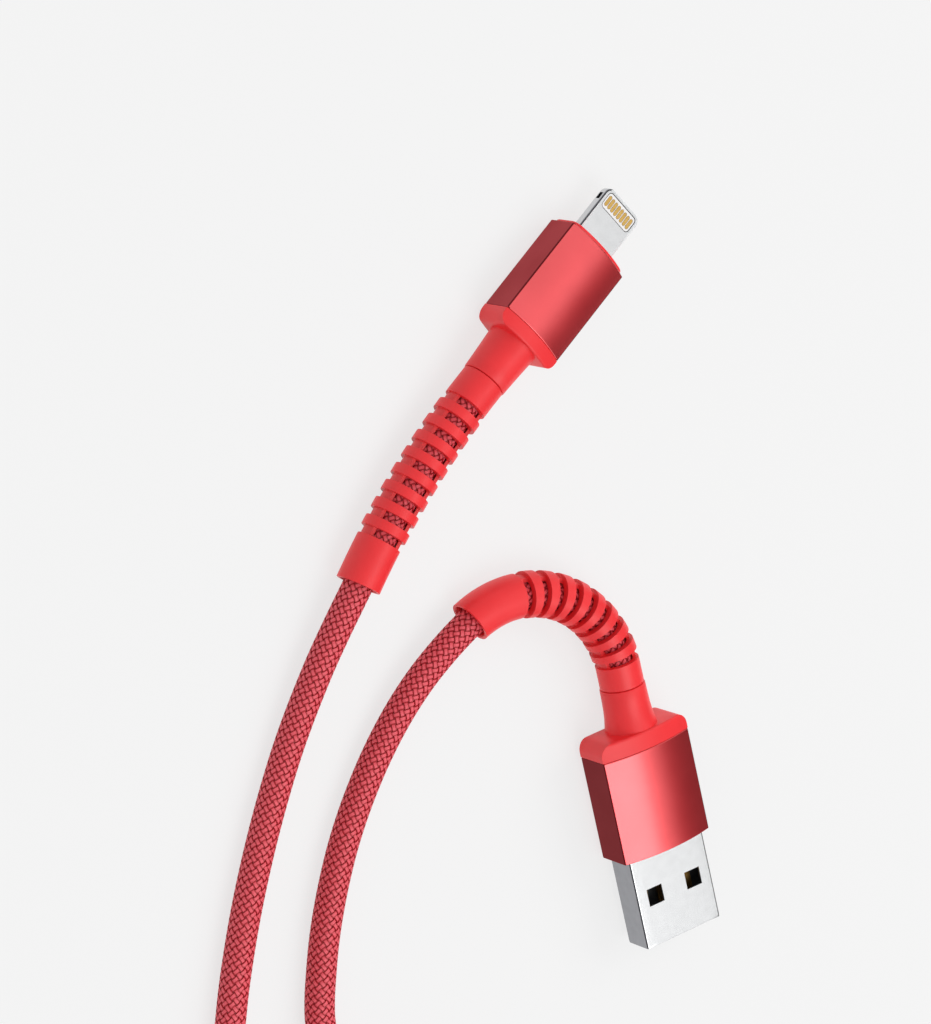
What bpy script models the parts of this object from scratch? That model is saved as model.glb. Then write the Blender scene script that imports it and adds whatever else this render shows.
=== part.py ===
# A braided charging cable lying on a table: a wide host plug and a slim phone plug, each with an
# aluminium sleeve, a soft end cap and a slotted boot, joined by a cord that is partly coiled.
# Metres, +Z up, the table at z = 0. Each plug is modelled along its own +X, towards its tip, from
# the seam where sleeve and end cap meet. The cord and the boots are modelled where they lie.
import math

import bmesh
import bpy
from mathutils import Matrix, Vector

# Where the plugs lie: the seam's place on the table, and the way the tip points.
HOST_SEAM = Vector((0.009836, -0.022439))
HOST_HEADING = math.radians(270)
PHONE_SEAM = Vector((0.006261, 0.035435))
PHONE_HEADING = math.radians(31.2)

# Fits between pieces.
FIT = 0.00005           # pressed or moulded in
SLIDE = 0.0001          # slid in by hand
SEAM_GAP = 0.00012      # joint line between two covers
CORD_GAP = 0.0003       # between lengths of cord, and from cord to coil

# Cord, its four wires, and the clamp that grips it in each end cap.
CORD_RADIUS = 0.00195
WIRE_RADIUS = 0.0004
WIRE_SPREAD = 0.0005    # how far each wire leaves the cord's middle, sideways and up or down
CLAMP_WALL = 0.0004
CLAMP_LENGTH = 0.0017

# Sleeve and end cap, alike on both plugs.
SLEEVE_WALL = 0.0005
CAP_SPIGOT = 0.0012     # what slides into the sleeve
NECK_END_RADIUS = 0.00305

# Host plug.
HOST_SHELL_WIDTH = 0.0120
HOST_SHELL_HEIGHT = 0.0045
HOST_SHELL_WALL = 0.0003
HOST_SHELL_CORNER = 0.0005
HOST_SHELL_REACH = 0.0125       # in front of the sleeve
HOST_SHELL_TAIL = 0.0060        # inside the sleeve
HOST_WINDOW = 0.0024
HOST_WINDOW_PITCH = 0.0062
HOST_WINDOW_SETBACK = 0.0067    # window's middle, behind the tip
HOST_CARRIER_BLOCK = 0.0059     # length of the full-height block at the carrier's rear
HOST_CARRIER_SETBACK = 0.0006   # tongue's end, behind the tip
HOST_TONGUE_TOP = -0.00005
HOST_CONTACT_WIDTH = 0.0010
HOST_CONTACT_THICKNESS = 0.0002
HOST_CONTACT_PLACES = (-0.0035, -0.0010, 0.0010, 0.0035)
HOST_OUTER_CONTACT_SETBACK = 0.0016
HOST_INNER_CONTACT_SETBACK = 0.0026
HOST_CONTACT_TAIL = 0.0015      # behind the steel shell
HOST_MOULD_WALL = 0.0003
HOST_MOULD_RECESS = 0.0003
HOST_EDGE_LAND = 0.000375       # sleeve's edge above the steel shell's face
HOST_CROWN = 0.00115
HOST_SLEEVE_LENGTH = 0.0144
HOST_CAP_LENGTH = 0.00245
HOST_CAP_CORNER = 0.00175       # seen from above
HOST_NECK_LENGTH = 0.00575
HOST_NECK_BASE_RADIUS = 0.00335

# Phone plug.
TONGUE_WIDTH = 0.0067
TONGUE_THICKNESS = 0.0015
TONGUE_REACH = 0.0078           # in front of the sleeve
TONGUE_CORNER = 0.0010
NOTCH_RADIUS = 0.0006
NOTCH_DEPTH = 0.0003
NOTCH_SETBACK = 0.0017
ROOT_FLANGE = 0.0001            # how far the tongue's root stands out to each side
ROOT_THICKNESS = 0.0027
ROOT_LENGTH = 0.0029
WINDOW_LENGTH = 0.00225
WINDOW_WIDTH = 0.0055
WINDOW_CORNER = 0.0005
WINDOW_SETBACK = 0.00052        # window's front edge, behind the tip
CHANNEL_HEIGHT = 0.0007
BLOCK_RECESS = 0.00003          # block's face below the tongue's face
CONTACT_COUNT = 8
CONTACT_PITCH = 0.000636
CONTACT_LENGTH = 0.0015
CONTACT_WIDTH = 0.00045
CONTACT_THICKNESS = 0.00012
BOARD_LENGTH = 0.0068
BOARD_WIDTH = 0.0062
BOARD_THICKNESS = 0.0008
CHIP_SIZE = 0.0022
CHIP_HEIGHT = 0.0007
REGULATOR_SIZE = 0.0016
REGULATOR_HEIGHT = 0.0006
PAD_LENGTH = 0.0014             # of board behind the chips that the wires lie on
PAD_PLACE = 0.0013
PHONE_MOULD_WALL = 0.001225
PHONE_CAVITY_ROOM = 0.00005     # above and below the tongue's root
PHONE_EDGE_LAND = 0.001165      # sleeve's edge above the mould's cavity
PHONE_CROWN = 0.0012
PHONE_SLEEVE_LENGTH = 0.01425
PHONE_CAP_LENGTH = 0.00200
PHONE_CAP_CORNER = 0.00105
PHONE_NECK_LENGTH = 0.00610
PHONE_NECK_BASE_RADIUS = 0.0033
TRIM_DEPTH = 0.0020
TRIM_PROUD = 0.00045
TRIM_CORNER = 0.0012

# Boots: a solid head, rings with slots between them, and a solid tail.
BOOT_RADIUS = 0.00295
BOOT_WEB_RADIUS = 0.00255
BOOT_BORE_ROOM = 0.0002         # round the cord
BOOT_RINGS = 8
BOOT_SLOT_FLOOR = 0.00115       # height above the middle at which a slot stops
BOOT_TAIL_LIFT = 0.0001         # the tail's underside above the table
HOST_BOOT_HEAD = 0.0034
HOST_BOOT_RING = 0.00123
HOST_BOOT_SLOT = 0.00110
HOST_BOOT_TAIL = 0.0075
HOST_BOOT_STRAIGHT = 0.0026     # how far the boot runs on before it bends
HOST_BOOT_BEND = math.radians(112.1)
PHONE_BOOT_HEAD = 0.0040
PHONE_BOOT_RING = 0.00128
PHONE_BOOT_SLOT = 0.00116
PHONE_BOOT_TAIL = 0.0060
PHONE_BOOT_STRAIGHT = 0.0004
PHONE_BOOT_BEND = math.radians(16.5)

# The cord's route from each boot's tail to the coil, as places on the table.
PHONE_RUN = (
    (-0.0297, 0.0063), (-0.0349, 0.0000), (-0.0398, -0.0066), (-0.0442, -0.0135),
    (-0.0482, -0.0205), (-0.0518, -0.0276), (-0.0550, -0.0350), (-0.0582, -0.0434),
    (-0.0613, -0.0523), (-0.0644, -0.0616),
)
HOST_RUN = (
    (-0.0163, -0.0015), (-0.0228, -0.0065), (-0.0285, -0.0123), (-0.0334, -0.0187),
    (-0.0375, -0.0256), (-0.0409, -0.0331), (-0.0434, -0.0410), (-0.0451, -0.0490),
    (-0.0451, -0.0565),
)
RUN_SETTLES = 0.025             # how far from the boot the cord comes down on the table
HOST_RUN_RISE = (0.0006, 0.0020, 0.0034)    # at its last three places, up towards the coil's top
PHONE_RUN_RISE = (0.0003, 0.0009)           # at its last two places, to the coil's lower turns
COIL_CENTRE = Vector((-0.04578, -0.08630))
COIL_RADIUS = 0.0228            # to the middle of the lower turns
COIL_LOWER_TURNS = 3
COIL_UPPER_TURNS = 2            # on the inner ones of the lower turns
COIL_PITCH = 0.0040
TIE_THICKNESS = 0.0008
TIE_WIDTH = 0.0080
TIE_BEARING = math.radians(247)
TIE_LAP = (math.radians(60), math.radians(145))     # where the strap's end lies on the strap itself
TIE_LAP_SLOPE = math.radians(4)

# Facets.
CROWN_STEPS = 8
CORNER_STEPS = 4
ROUND_STEPS = 16
COIL_STEPS = 40
SLOT_STEPS = 5          # across a slot's opening
WEB_STEPS = 3           # across the web beside it
SPAN_STEPS = 3          # along a boot's head or tail
ROUTE_STEPS = 1         # between two places on a run
LEAD_STEP = 0.0030

WORLD_UP = Vector((0, 0, 1))


# What follows from the sizes above.
def arc_radius(half_width, crown):
    return (half_width**2 + crown**2) / (2 * crown)


clampBore = CORD_RADIUS + SLIDE
clampRadius = clampBore + CLAMP_WALL
pocketRadius = clampRadius + SLIDE
boreRadius = CORD_RADIUS + BOOT_BORE_ROOM
hostHalfWidth = HOST_SHELL_WIDTH / 2 + FIT + HOST_MOULD_WALL + FIT + SLEEVE_WALL
hostTop = HOST_SHELL_HEIGHT / 2 + HOST_EDGE_LAND + HOST_CROWN
rootHalfWidth = TONGUE_WIDTH / 2 + ROOT_FLANGE
cavityHalfWidth = rootHalfWidth + FIT
cavityHalfHeight = ROOT_THICKNESS / 2 + PHONE_CAVITY_ROOM
phoneHalfWidth = cavityHalfWidth + PHONE_MOULD_WALL + FIT + SLEEVE_WALL
phoneTop = cavityHalfHeight + PHONE_EDGE_LAND + PHONE_CROWN

HOST = {
    "name": "host", "seam": HOST_SEAM, "heading": HOST_HEADING,
    "half_width": hostHalfWidth, "top": hostTop, "crown": HOST_CROWN,
    "sleeve": HOST_SLEEVE_LENGTH, "cap": HOST_CAP_LENGTH, "corner": HOST_CAP_CORNER,
    "neck": HOST_NECK_LENGTH, "neck_base": HOST_NECK_BASE_RADIUS,
    "head": HOST_BOOT_HEAD, "ring": HOST_BOOT_RING, "slot": HOST_BOOT_SLOT,
    "tail": HOST_BOOT_TAIL, "straight": HOST_BOOT_STRAIGHT, "bend": HOST_BOOT_BEND,
}
PHONE = {
    "name": "phone", "seam": PHONE_SEAM, "heading": PHONE_HEADING,
    "half_width": phoneHalfWidth, "top": phoneTop, "crown": PHONE_CROWN,
    "sleeve": PHONE_SLEEVE_LENGTH, "cap": PHONE_CAP_LENGTH, "corner": PHONE_CAP_CORNER,
    "neck": PHONE_NECK_LENGTH, "neck_base": PHONE_NECK_BASE_RADIUS,
    "head": PHONE_BOOT_HEAD, "ring": PHONE_BOOT_RING, "slot": PHONE_BOOT_SLOT,
    "tail": PHONE_BOOT_TAIL, "straight": PHONE_BOOT_STRAIGHT, "bend": PHONE_BOOT_BEND,
}


# ---- Materials

def material(name, colour, roughness, metallic=0.0):
    made = bpy.data.materials.new(name)
    made.use_nodes = True
    shader = made.node_tree.nodes["Principled BSDF"]
    shader.inputs["Base Color"].default_value = (*colour, 1.0)
    shader.inputs["Roughness"].default_value = roughness
    shader.inputs["Metallic"].default_value = metallic
    return made


FINISHES = {
    "anodised": ((0.55, 0.03, 0.04), 0.35, 0.9),
    "soft_red": ((0.83, 0.03, 0.03), 0.5, 0.0),
    "braid": ((0.55, 0.02, 0.04), 0.8, 0.0),
    "steel": ((0.72, 0.72, 0.73), 0.25, 1.0),
    "gold": ((0.75, 0.48, 0.14), 0.3, 1.0),
    "brass": ((0.65, 0.50, 0.22), 0.4, 1.0),
    "white": ((0.86, 0.86, 0.86), 0.45, 0.0),
    "board": ((0.02, 0.16, 0.07), 0.5, 0.0),
    "black": ((0.02, 0.02, 0.02), 0.5, 0.0),
    "wire_red": ((0.7, 0.03, 0.03), 0.5, 0.0),
    "wire_white": ((0.8, 0.8, 0.8), 0.5, 0.0),
    "wire_green": ((0.04, 0.35, 0.08), 0.5, 0.0),
    "wire_black": ((0.03, 0.03, 0.03), 0.5, 0.0),
}


def finish(thing, name):
    thing.data.materials.append(material(f"{thing.name}_{name}", *FINISHES[name]))
    return thing


# ---- Meshes

def add_object(name, data, parent=None, at=Vector((0, 0, 0))):
    thing = bpy.data.objects.new(name, data)
    bpy.context.scene.collection.objects.link(thing)
    thing.parent = parent
    thing.location = at
    return thing


def joined_loops(name, loops, closed=False):
    """A mesh through loops of equally many points, capped at both ends or closed on itself."""
    shape = bmesh.new()
    rings = [[shape.verts.new(point) for point in loop] for loop in loops]
    count = len(loops[0])
    followers = rings[1:] + rings[:1] if closed else rings[1:]
    for ring, after in zip(rings, followers):
        for i in range(count):
            j = (i + 1) % count
            shape.faces.new((ring[i], ring[j], after[j], after[i]))
    if not closed:
        shape.faces.new(rings[0])
        shape.faces.new(rings[-1])
    bmesh.ops.recalc_face_normals(shape, faces=shape.faces)
    mesh = bpy.data.meshes.new(name)
    shape.to_mesh(mesh)
    shape.free()
    mesh.shade_smooth()
    mesh.set_sharp_from_angle(angle=math.radians(35))
    return mesh


def across(x, outline):
    """An outline of (y, z) points as a loop across the plug's axis."""
    return [(x, y, z) for y, z in outline]


def level(z, outline):
    """An outline of (x, y) points as a loop at one height."""
    return [(x, y, z) for x, y in outline]


def crowned(half_width, top, radius, corner=0.0):
    """Flat sides with a shallow arc above and below, and corners rounded between them."""
    reach = math.acos((half_width - corner) / (radius - corner))
    edge = radius * math.cos(reach)
    arc = []
    for i in range(CROWN_STEPS + 1):
        y = edge - 2 * edge * i / CROWN_STEPS
        arc.append((y, top - radius + math.sqrt(radius**2 - y**2)))
    if corner:
        middle = (half_width - corner, top - radius + (radius - corner) * math.sin(reach))
        turn = [(middle[0] + corner * math.cos(a), middle[1] + corner * math.sin(a))
                for a in (reach * i / CORNER_STEPS for i in range(CORNER_STEPS))]
        arc = turn + arc + [(-y, z) for y, z in reversed(turn)]
    under = [(-y, -z) for y, z in arc]
    return [(half_width, 0.0)] + arc + [(-half_width, 0.0)] + under


def section(plug, inset=0.0, half_width=None, corner=0.0):
    """The plug's outline, brought in by inset all round, or cut off at half_width."""
    radius = arc_radius(plug["half_width"], plug["crown"]) - inset
    width = plug["half_width"] - inset if half_width is None else half_width
    return crowned(width, plug["top"] - inset, radius, corner)


def circle(radius, steps=ROUND_STEPS):
    turns = [2 * math.pi * i / steps for i in range(steps)]
    return [(radius * math.cos(a), radius * math.sin(a)) for a in turns]


def rounded_rectangle(width, height, corner, middle=(0.0, 0.0)):
    points = []
    for quarter in range(4):
        turn = quarter * math.pi / 2
        side = (1, -1, -1, 1)[quarter], (1, 1, -1, -1)[quarter]
        centre = [side[0] * (width / 2 - corner), side[1] * (height / 2 - corner)]
        for i in range(CORNER_STEPS + 1):
            a = turn + i / CORNER_STEPS * math.pi / 2
            points.append((middle[0] + centre[0] + corner * math.cos(a),
                           middle[1] + centre[1] + corner * math.sin(a)))
    return points


def capsule(length, width, middle):
    """A bar with round ends, lying along x."""
    points = []
    for end in (1, -1):
        for i in range(CORNER_STEPS + 1):
            a = math.pi * (i / CORNER_STEPS - 0.5)
            points.append((middle[0] + end * ((length - width) / 2 + width / 2 * math.cos(a)),
                           middle[1] + end * width / 2 * math.sin(a)))
    return points


def box_mesh(name, low, high):
    corners = [(low[0], low[1]), (high[0], low[1]), (high[0], high[1]), (low[0], high[1])]
    return joined_loops(name, [level(low[2], corners), level(high[2], corners)])


def combine(thing, operation, name, mesh):
    """Cuts a shape out of a piece, or joins it on. The shape stays as a hidden wire guide."""
    guide = add_object(name, mesh, thing.parent, thing.location)
    guide.hide_render = True
    guide.display_type = "WIRE"
    modifier = thing.modifiers.new(name, "BOOLEAN")
    modifier.operation = operation
    modifier.object = guide


# ---- Places along a boot, from the neck's end to the tail's end

def boot_length(plug):
    return plug["head"] + plug["tail"] + BOOT_RINGS * plug["ring"] + (BOOT_RINGS + 1) * plug["slot"]


def boot_start(plug):
    way = Vector((math.cos(plug["heading"]), math.sin(plug["heading"])))
    return plug["seam"] - way * (plug["cap"] + plug["neck"])


def boot_place(plug, along):
    """The boot's middle at this length from the neck, and its way there on the table."""
    start = plug["heading"] + math.pi
    straight = min(along, plug["straight"])
    bent = along - straight
    rate = plug["bend"] / (boot_length(plug) - plug["straight"])
    turn = start + bent * rate
    place = boot_start(plug) + straight * Vector((math.cos(start), math.sin(start)))
    place += Vector((math.sin(turn) - math.sin(start), math.cos(start) - math.cos(turn))) / rate
    tail_height = BOOT_RADIUS + BOOT_TAIL_LIFT
    drop = (plug["top"] - tail_height) * bent / (boot_length(plug) - plug["straight"])
    return Vector((*place, plug["top"] - drop)), turn


def flex_centre(plug):
    """The middle of the bending length, about which the plug swings."""
    steps = 64
    span = boot_length(plug) - plug["straight"]
    places = [boot_place(plug, plug["straight"] + span * (i + 0.5) / steps)[0] for i in range(steps)]
    return sum(places, Vector((0, 0, 0))) / steps


# ---- Pieces that both plugs have

def make_sleeve(plug, pivot, offset):
    outer = section(plug)
    inner = section(plug, SLEEVE_WALL)
    ends = (0.0, plug["sleeve"])
    loops = [across(ends[0], outer), across(ends[1], outer),
             across(ends[1], inner), across(ends[0], inner)]
    name = plug["name"] + "_sleeve"
    return finish(add_object(name, joined_loops(name, loops, closed=True), pivot, offset), "anodised")


def make_end_cap(plug, pivot, offset):
    """Spigot, cap with corners rounded in plan, neck, and the stepped bore back through them."""
    spigot = section(plug, SLEEVE_WALL + FIT)
    loops = [across(CAP_SPIGOT, spigot), across(-SEAM_GAP, spigot), across(-SEAM_GAP, section(plug))]
    corner = plug["corner"]
    for i in range(CORNER_STEPS + 1):
        a = i / CORNER_STEPS * math.pi / 2
        width = plug["half_width"] - corner * (1 - math.cos(a))
        x = -(plug["cap"] - corner) - corner * math.sin(a)
        loops.append(across(x, section(plug, half_width=width)))
    neck_end = -(plug["cap"] + plug["neck"])
    pocket_end = -(CLAMP_LENGTH + SLIDE)
    rounds = ((-plug["cap"], plug["neck_base"]), (neck_end, NECK_END_RADIUS), (neck_end, boreRadius),
              (pocket_end, boreRadius), (pocket_end, pocketRadius), (CAP_SPIGOT, pocketRadius))
    loops += [across(x, circle(radius, len(spigot))) for x, radius in rounds]
    name = plug["name"] + "_end_cap"
    return finish(add_object(name, joined_loops(name, loops, closed=True), pivot, offset), "soft_red")


def make_clamp(plug, pivot, offset):
    ends = (-CLAMP_LENGTH, 0.0)
    outer = circle(clampRadius)
    inner = circle(clampBore)
    loops = [across(ends[0], outer), across(ends[1], outer),
             across(ends[1], inner), across(ends[0], inner)]
    name = plug["name"] + "_cord_clamp"
    return finish(add_object(name, joined_loops(name, loops, closed=True), pivot, offset), "brass")


def tube(name, points, radius, parent=None, at=Vector((0, 0, 0)), sides=2):
    """A round cord through points, as a curve with a bevel and filled ends."""
    curve = bpy.data.curves.new(name, "CURVE")
    curve.dimensions = "3D"
    curve.bevel_depth = radius
    curve.bevel_resolution = sides
    curve.use_fill_caps = True
    spline = curve.splines.new("POLY")
    spline.points.add(len(points) - 1)
    for point, place in zip(spline.points, points):
        point.co = (*place, 1.0)
    return add_object(name, curve, parent, at)


def make_wires(plug, pivot, offset, ends):
    """One wire from each quarter of the cord's end to each place in ends."""
    start = SLIDE
    colours = ("wire_black", "wire_green", "wire_white", "wire_red")
    quarters = ((-1, -1), (-1, 1), (1, 1), (1, -1))
    for colour, (side, rise), end in zip(colours, quarters, ends):
        begin = Vector((start, side * WIRE_SPREAD, rise * WIRE_SPREAD))
        reach = end[0] - start
        route = [begin, begin + Vector((0.25 * reach, 0, 0)),
                 Vector((start + 0.65 * reach, end[1], end[2])), Vector(end)]
        name = f"{plug['name']}_{colour}"
        finish(tube(name, route, WIRE_RADIUS, pivot, offset, sides=1), colour)


def make_lead(plug):
    """The cord from its clamp, through neck and boot, to the boot's tail end."""
    way = Vector((math.cos(plug["heading"]), math.sin(plug["heading"]), 0))
    first = Vector((*plug["seam"], plug["top"]))
    inside = plug["cap"] + plug["neck"]
    count = math.ceil(boot_length(plug) / LEAD_STEP)
    points = [first, first - way * inside / 2]
    points += [boot_place(plug, boot_length(plug) * i / count)[0] for i in range(count + 1)]
    return finish(tube(plug["name"] + "_cord_lead", points, CORD_RADIUS), "braid")


# ---- Boot

def boot_stations(plug):
    """Lengths at which the boot's section changes, and whether each stretch is slotted."""
    stations, slotted = [SEAM_GAP], []

    def add(length, cut, steps=1):
        begin = stations[-1]
        for i in range(steps):
            stations.append(begin + length * (i + 1) / steps)
            slotted.append(cut)

    add(plug["head"] - SEAM_GAP, False, SPAN_STEPS)
    for i in range(BOOT_RINGS):
        add(plug["slot"], True)
        add(plug["ring"], False)
    add(plug["slot"], True)
    add(plug["tail"], False, SPAN_STEPS)
    return stations, slotted


def boot_bearings(radius):
    """Bearings round the boot, from the top: across a slot's opening, then across a web."""
    edge = math.acos(BOOT_SLOT_FLOOR / radius)
    opening = [edge * (2 * i / SLOT_STEPS - 1) for i in range(SLOT_STEPS)]
    web = [edge + (math.pi - 2 * edge) * i / WEB_STEPS for i in range(WEB_STEPS)]
    half = opening + web
    return half + [a + math.pi for a in half]


def make_boot(plug):
    """A grid of cells along, round and outward; faces stand wherever filled meets empty."""
    stations, slotted = boot_stations(plug)
    radii = (boreRadius, BOOT_WEB_RADIUS, BOOT_RADIUS)
    bearings = [boot_bearings(r) for r in radii]
    round_steps = len(bearings[0])
    half_steps = SLOT_STEPS + WEB_STEPS

    def filled(i, j, k):
        if not 0 <= i < len(slotted) or not 0 <= k < len(radii) - 1:
            return False
        over_opening = j % half_steps < SLOT_STEPS
        return not slotted[i] or (k == 0 and not over_opening)

    shape = bmesh.new()
    corners = {}

    def corner(i, j, k):
        j %= round_steps
        if (i, j, k) not in corners:
            place, way = boot_place(plug, stations[i])
            aside = Vector((-math.sin(way), math.cos(way), 0))
            a = bearings[k][j]
            spot = place + radii[k] * (math.sin(a) * aside + math.cos(a) * WORLD_UP)
            corners[i, j, k] = shape.verts.new(spot)
        return corners[i, j, k]

    for i in range(len(slotted)):
        for j in range(round_steps):
            for k in range(len(radii) - 1):
                if not filled(i, j, k):
                    continue
                if not filled(i - 1, j, k):
                    shape.faces.new([corner(i, j + b, k + c) for b, c in ((0, 0), (1, 0), (1, 1), (0, 1))])
                if not filled(i + 1, j, k):
                    shape.faces.new([corner(i + 1, j + b, k + c) for b, c in ((0, 0), (0, 1), (1, 1), (1, 0))])
                if not filled(i, (j - 1) % round_steps, k):
                    shape.faces.new([corner(i + a, j, k + c) for a, c in ((0, 0), (0, 1), (1, 1), (1, 0))])
                if not filled(i, (j + 1) % round_steps, k):
                    shape.faces.new([corner(i + a, j + 1, k + c) for a, c in ((0, 0), (1, 0), (1, 1), (0, 1))])
                if not filled(i, j, k - 1):
                    shape.faces.new([corner(i + a, j + b, k) for a, b in ((0, 0), (1, 0), (1, 1), (0, 1))])
                if not filled(i, j, k + 1):
                    shape.faces.new([corner(i + a, j + b, k + 1) for a, b in ((0, 0), (0, 1), (1, 1), (1, 0))])
    bmesh.ops.recalc_face_normals(shape, faces=shape.faces)
    name = plug["name"] + "_boot"
    mesh = bpy.data.meshes.new(name)
    shape.to_mesh(mesh)
    shape.free()
    mesh.shade_smooth()
    mesh.set_sharp_from_angle(angle=math.radians(35))
    return finish(add_object(name, mesh), "soft_red")


# ---- Host plug

def make_host_shell(pivot, offset):
    """The folded steel shell, with two windows in each broad face."""
    front = HOST["sleeve"] + HOST_SHELL_REACH
    rear = HOST["sleeve"] - HOST_SHELL_TAIL
    outer = rounded_rectangle(HOST_SHELL_WIDTH, HOST_SHELL_HEIGHT, HOST_SHELL_CORNER)
    inner = rounded_rectangle(HOST_SHELL_WIDTH - 2 * HOST_SHELL_WALL,
                              HOST_SHELL_HEIGHT - 2 * HOST_SHELL_WALL,
                              HOST_SHELL_CORNER - HOST_SHELL_WALL)
    loops = [across(rear, outer), across(front, outer), across(front, inner), across(rear, inner)]
    shell = add_object("host_plug_shell", joined_loops("host_plug_shell", loops, closed=True), pivot, offset)
    middle = front - HOST_WINDOW_SETBACK
    for side in (-1, 1):
        y = side * HOST_WINDOW_PITCH / 2
        low = (middle - HOST_WINDOW / 2, y - HOST_WINDOW / 2, -HOST_SHELL_HEIGHT)
        high = (middle + HOST_WINDOW / 2, y + HOST_WINDOW / 2, HOST_SHELL_HEIGHT)
        name = f"host_window_cut_{'left' if side > 0 else 'right'}"
        combine(shell, "DIFFERENCE", name, box_mesh(name, low, high))
    return finish(shell, "steel")


def make_host_carrier(pivot, offset):
    """The plastic block in the shell's rear, with the tongue in front that the contacts lie on."""
    front = HOST["sleeve"] + HOST_SHELL_REACH - HOST_CARRIER_SETBACK
    rear = HOST["sleeve"] - HOST_SHELL_TAIL + SLIDE
    block = rear + HOST_CARRIER_BLOCK
    half_width = HOST_SHELL_WIDTH / 2 - HOST_SHELL_WALL - SLIDE
    half_height = HOST_SHELL_HEIGHT / 2 - HOST_SHELL_WALL - SLIDE
    side = [(rear, -half_height), (front, -half_height), (front, HOST_TONGUE_TOP),
            (block, HOST_TONGUE_TOP), (block, half_height), (rear, half_height)]
    loops = [[(x, y, z) for x, z in side] for y in (-half_width, half_width)]
    carrier = add_object("host_contact_carrier", joined_loops("host_contact_carrier", loops), pivot, offset)
    for i, y in enumerate(HOST_CONTACT_PLACES, 1):
        half = HOST_CONTACT_WIDTH / 2 + FIT
        low = (rear - HOST_CARRIER_BLOCK, y - half, HOST_TONGUE_TOP)
        high = (block + HOST_CARRIER_BLOCK, y + half, HOST_TONGUE_TOP + HOST_CONTACT_THICKNESS + 3 * FIT)
        name = f"host_contact_slot_{i}"
        combine(carrier, "DIFFERENCE", name, box_mesh(name, low, high))
    return finish(carrier, "black")


def make_host_contacts(pivot, offset):
    """Four gold strips on the tongue. The outer two reach further forward."""
    tip = HOST["sleeve"] + HOST_SHELL_REACH
    tail = HOST["sleeve"] - HOST_SHELL_TAIL - HOST_CONTACT_TAIL
    bottom = HOST_TONGUE_TOP + FIT
    places = sorted(HOST_CONTACT_PLACES)
    for i, y in enumerate(places, 1):
        outer = i in (1, len(places))
        setback = HOST_OUTER_CONTACT_SETBACK if outer else HOST_INNER_CONTACT_SETBACK
        low = (tail, y - HOST_CONTACT_WIDTH / 2, bottom)
        high = (tip - setback, y + HOST_CONTACT_WIDTH / 2, bottom + HOST_CONTACT_THICKNESS)
        name = f"host_contact_{i}"
        finish(add_object(name, box_mesh(name, low, high), pivot, offset), "gold")


def make_host_mould(pivot, offset):
    """The liner that holds the steel shell in the sleeve."""
    outline = section(HOST, SLEEVE_WALL + FIT)
    ends = (CAP_SPIGOT + SLIDE, HOST["sleeve"] - HOST_MOULD_RECESS)
    mesh = joined_loops("host_inner_mould", [across(x, outline) for x in ends])
    mould = add_object("host_inner_mould", mesh, pivot, offset)
    hole = rounded_rectangle(HOST_SHELL_WIDTH + 2 * FIT, HOST_SHELL_HEIGHT + 2 * FIT, HOST_SHELL_CORNER + FIT)
    beyond = (ends[0] - CAP_SPIGOT, ends[1] + CAP_SPIGOT)
    mesh = joined_loops("host_mould_cut", [across(x, hole) for x in beyond])
    combine(mould, "DIFFERENCE", "host_mould_cut", mesh)
    return finish(mould, "soft_red")


# ---- Phone plug

def tongue_outline(front, rear):
    """Seen from above: round tip corners, and a notch in each long side."""
    half = TONGUE_WIDTH / 2
    notch = front - NOTCH_SETBACK
    spread = math.acos(1 - NOTCH_DEPTH / NOTCH_RADIUS)
    right = [(rear, -half)]
    for i in range(CORNER_STEPS + 1):
        a = spread * (1 - 2 * i / CORNER_STEPS)
        right.append((notch - NOTCH_RADIUS * math.sin(a),
                      -half - NOTCH_RADIUS + NOTCH_DEPTH + NOTCH_RADIUS * math.cos(a)))
    for i in range(CORNER_STEPS + 1):
        a = -math.pi / 2 + i / CORNER_STEPS * math.pi / 2
        right.append((front - TONGUE_CORNER + TONGUE_CORNER * math.cos(a),
                      -half + TONGUE_CORNER + TONGUE_CORNER * math.sin(a)))
    left = [(x, -y) for x, y in reversed(right)]
    return right + left


def make_tongue(pivot, offset):
    """The plug's metal frame: a notched tongue on a thicker root, hollow for its contact block."""
    front = PHONE["sleeve"] + TONGUE_REACH
    root_front = PHONE["sleeve"] + TRIM_PROUD - TRIM_DEPTH - SLIDE
    rear = root_front - ROOT_LENGTH
    outline = tongue_outline(front, rear)
    half = TONGUE_THICKNESS / 2
    mesh = joined_loops("phone_plug_tongue", [level(-half, outline), level(half, outline)])
    tongue = add_object("phone_plug_tongue", mesh, pivot, offset)
    root = box_mesh("phone_root_block", (rear, -rootHalfWidth, -ROOT_THICKNESS / 2),
                    (root_front, rootHalfWidth, ROOT_THICKNESS / 2))
    combine(tongue, "UNION", "phone_root_block", root)
    window_front = front - WINDOW_SETBACK
    channel = box_mesh("phone_channel_cut",
                       (rear - ROOT_LENGTH, -WINDOW_WIDTH / 2, -CHANNEL_HEIGHT / 2),
                       (window_front - WINDOW_LENGTH / 2, WINDOW_WIDTH / 2, CHANNEL_HEIGHT / 2))
    combine(tongue, "DIFFERENCE", "phone_channel_cut", channel)
    hole = rounded_rectangle(WINDOW_LENGTH, WINDOW_WIDTH, WINDOW_CORNER, (window_front - WINDOW_LENGTH / 2, 0.0))
    window = joined_loops("phone_window_cut", [level(-TONGUE_THICKNESS, hole), level(TONGUE_THICKNESS, hole)])
    combine(tongue, "DIFFERENCE", "phone_window_cut", window)
    return finish(tongue, "steel")


def contact_places():
    middle = PHONE["sleeve"] + TONGUE_REACH - WINDOW_SETBACK - WINDOW_LENGTH / 2
    return [(middle, CONTACT_PITCH * (i - (CONTACT_COUNT - 1) / 2)) for i in range(CONTACT_COUNT)]


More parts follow.
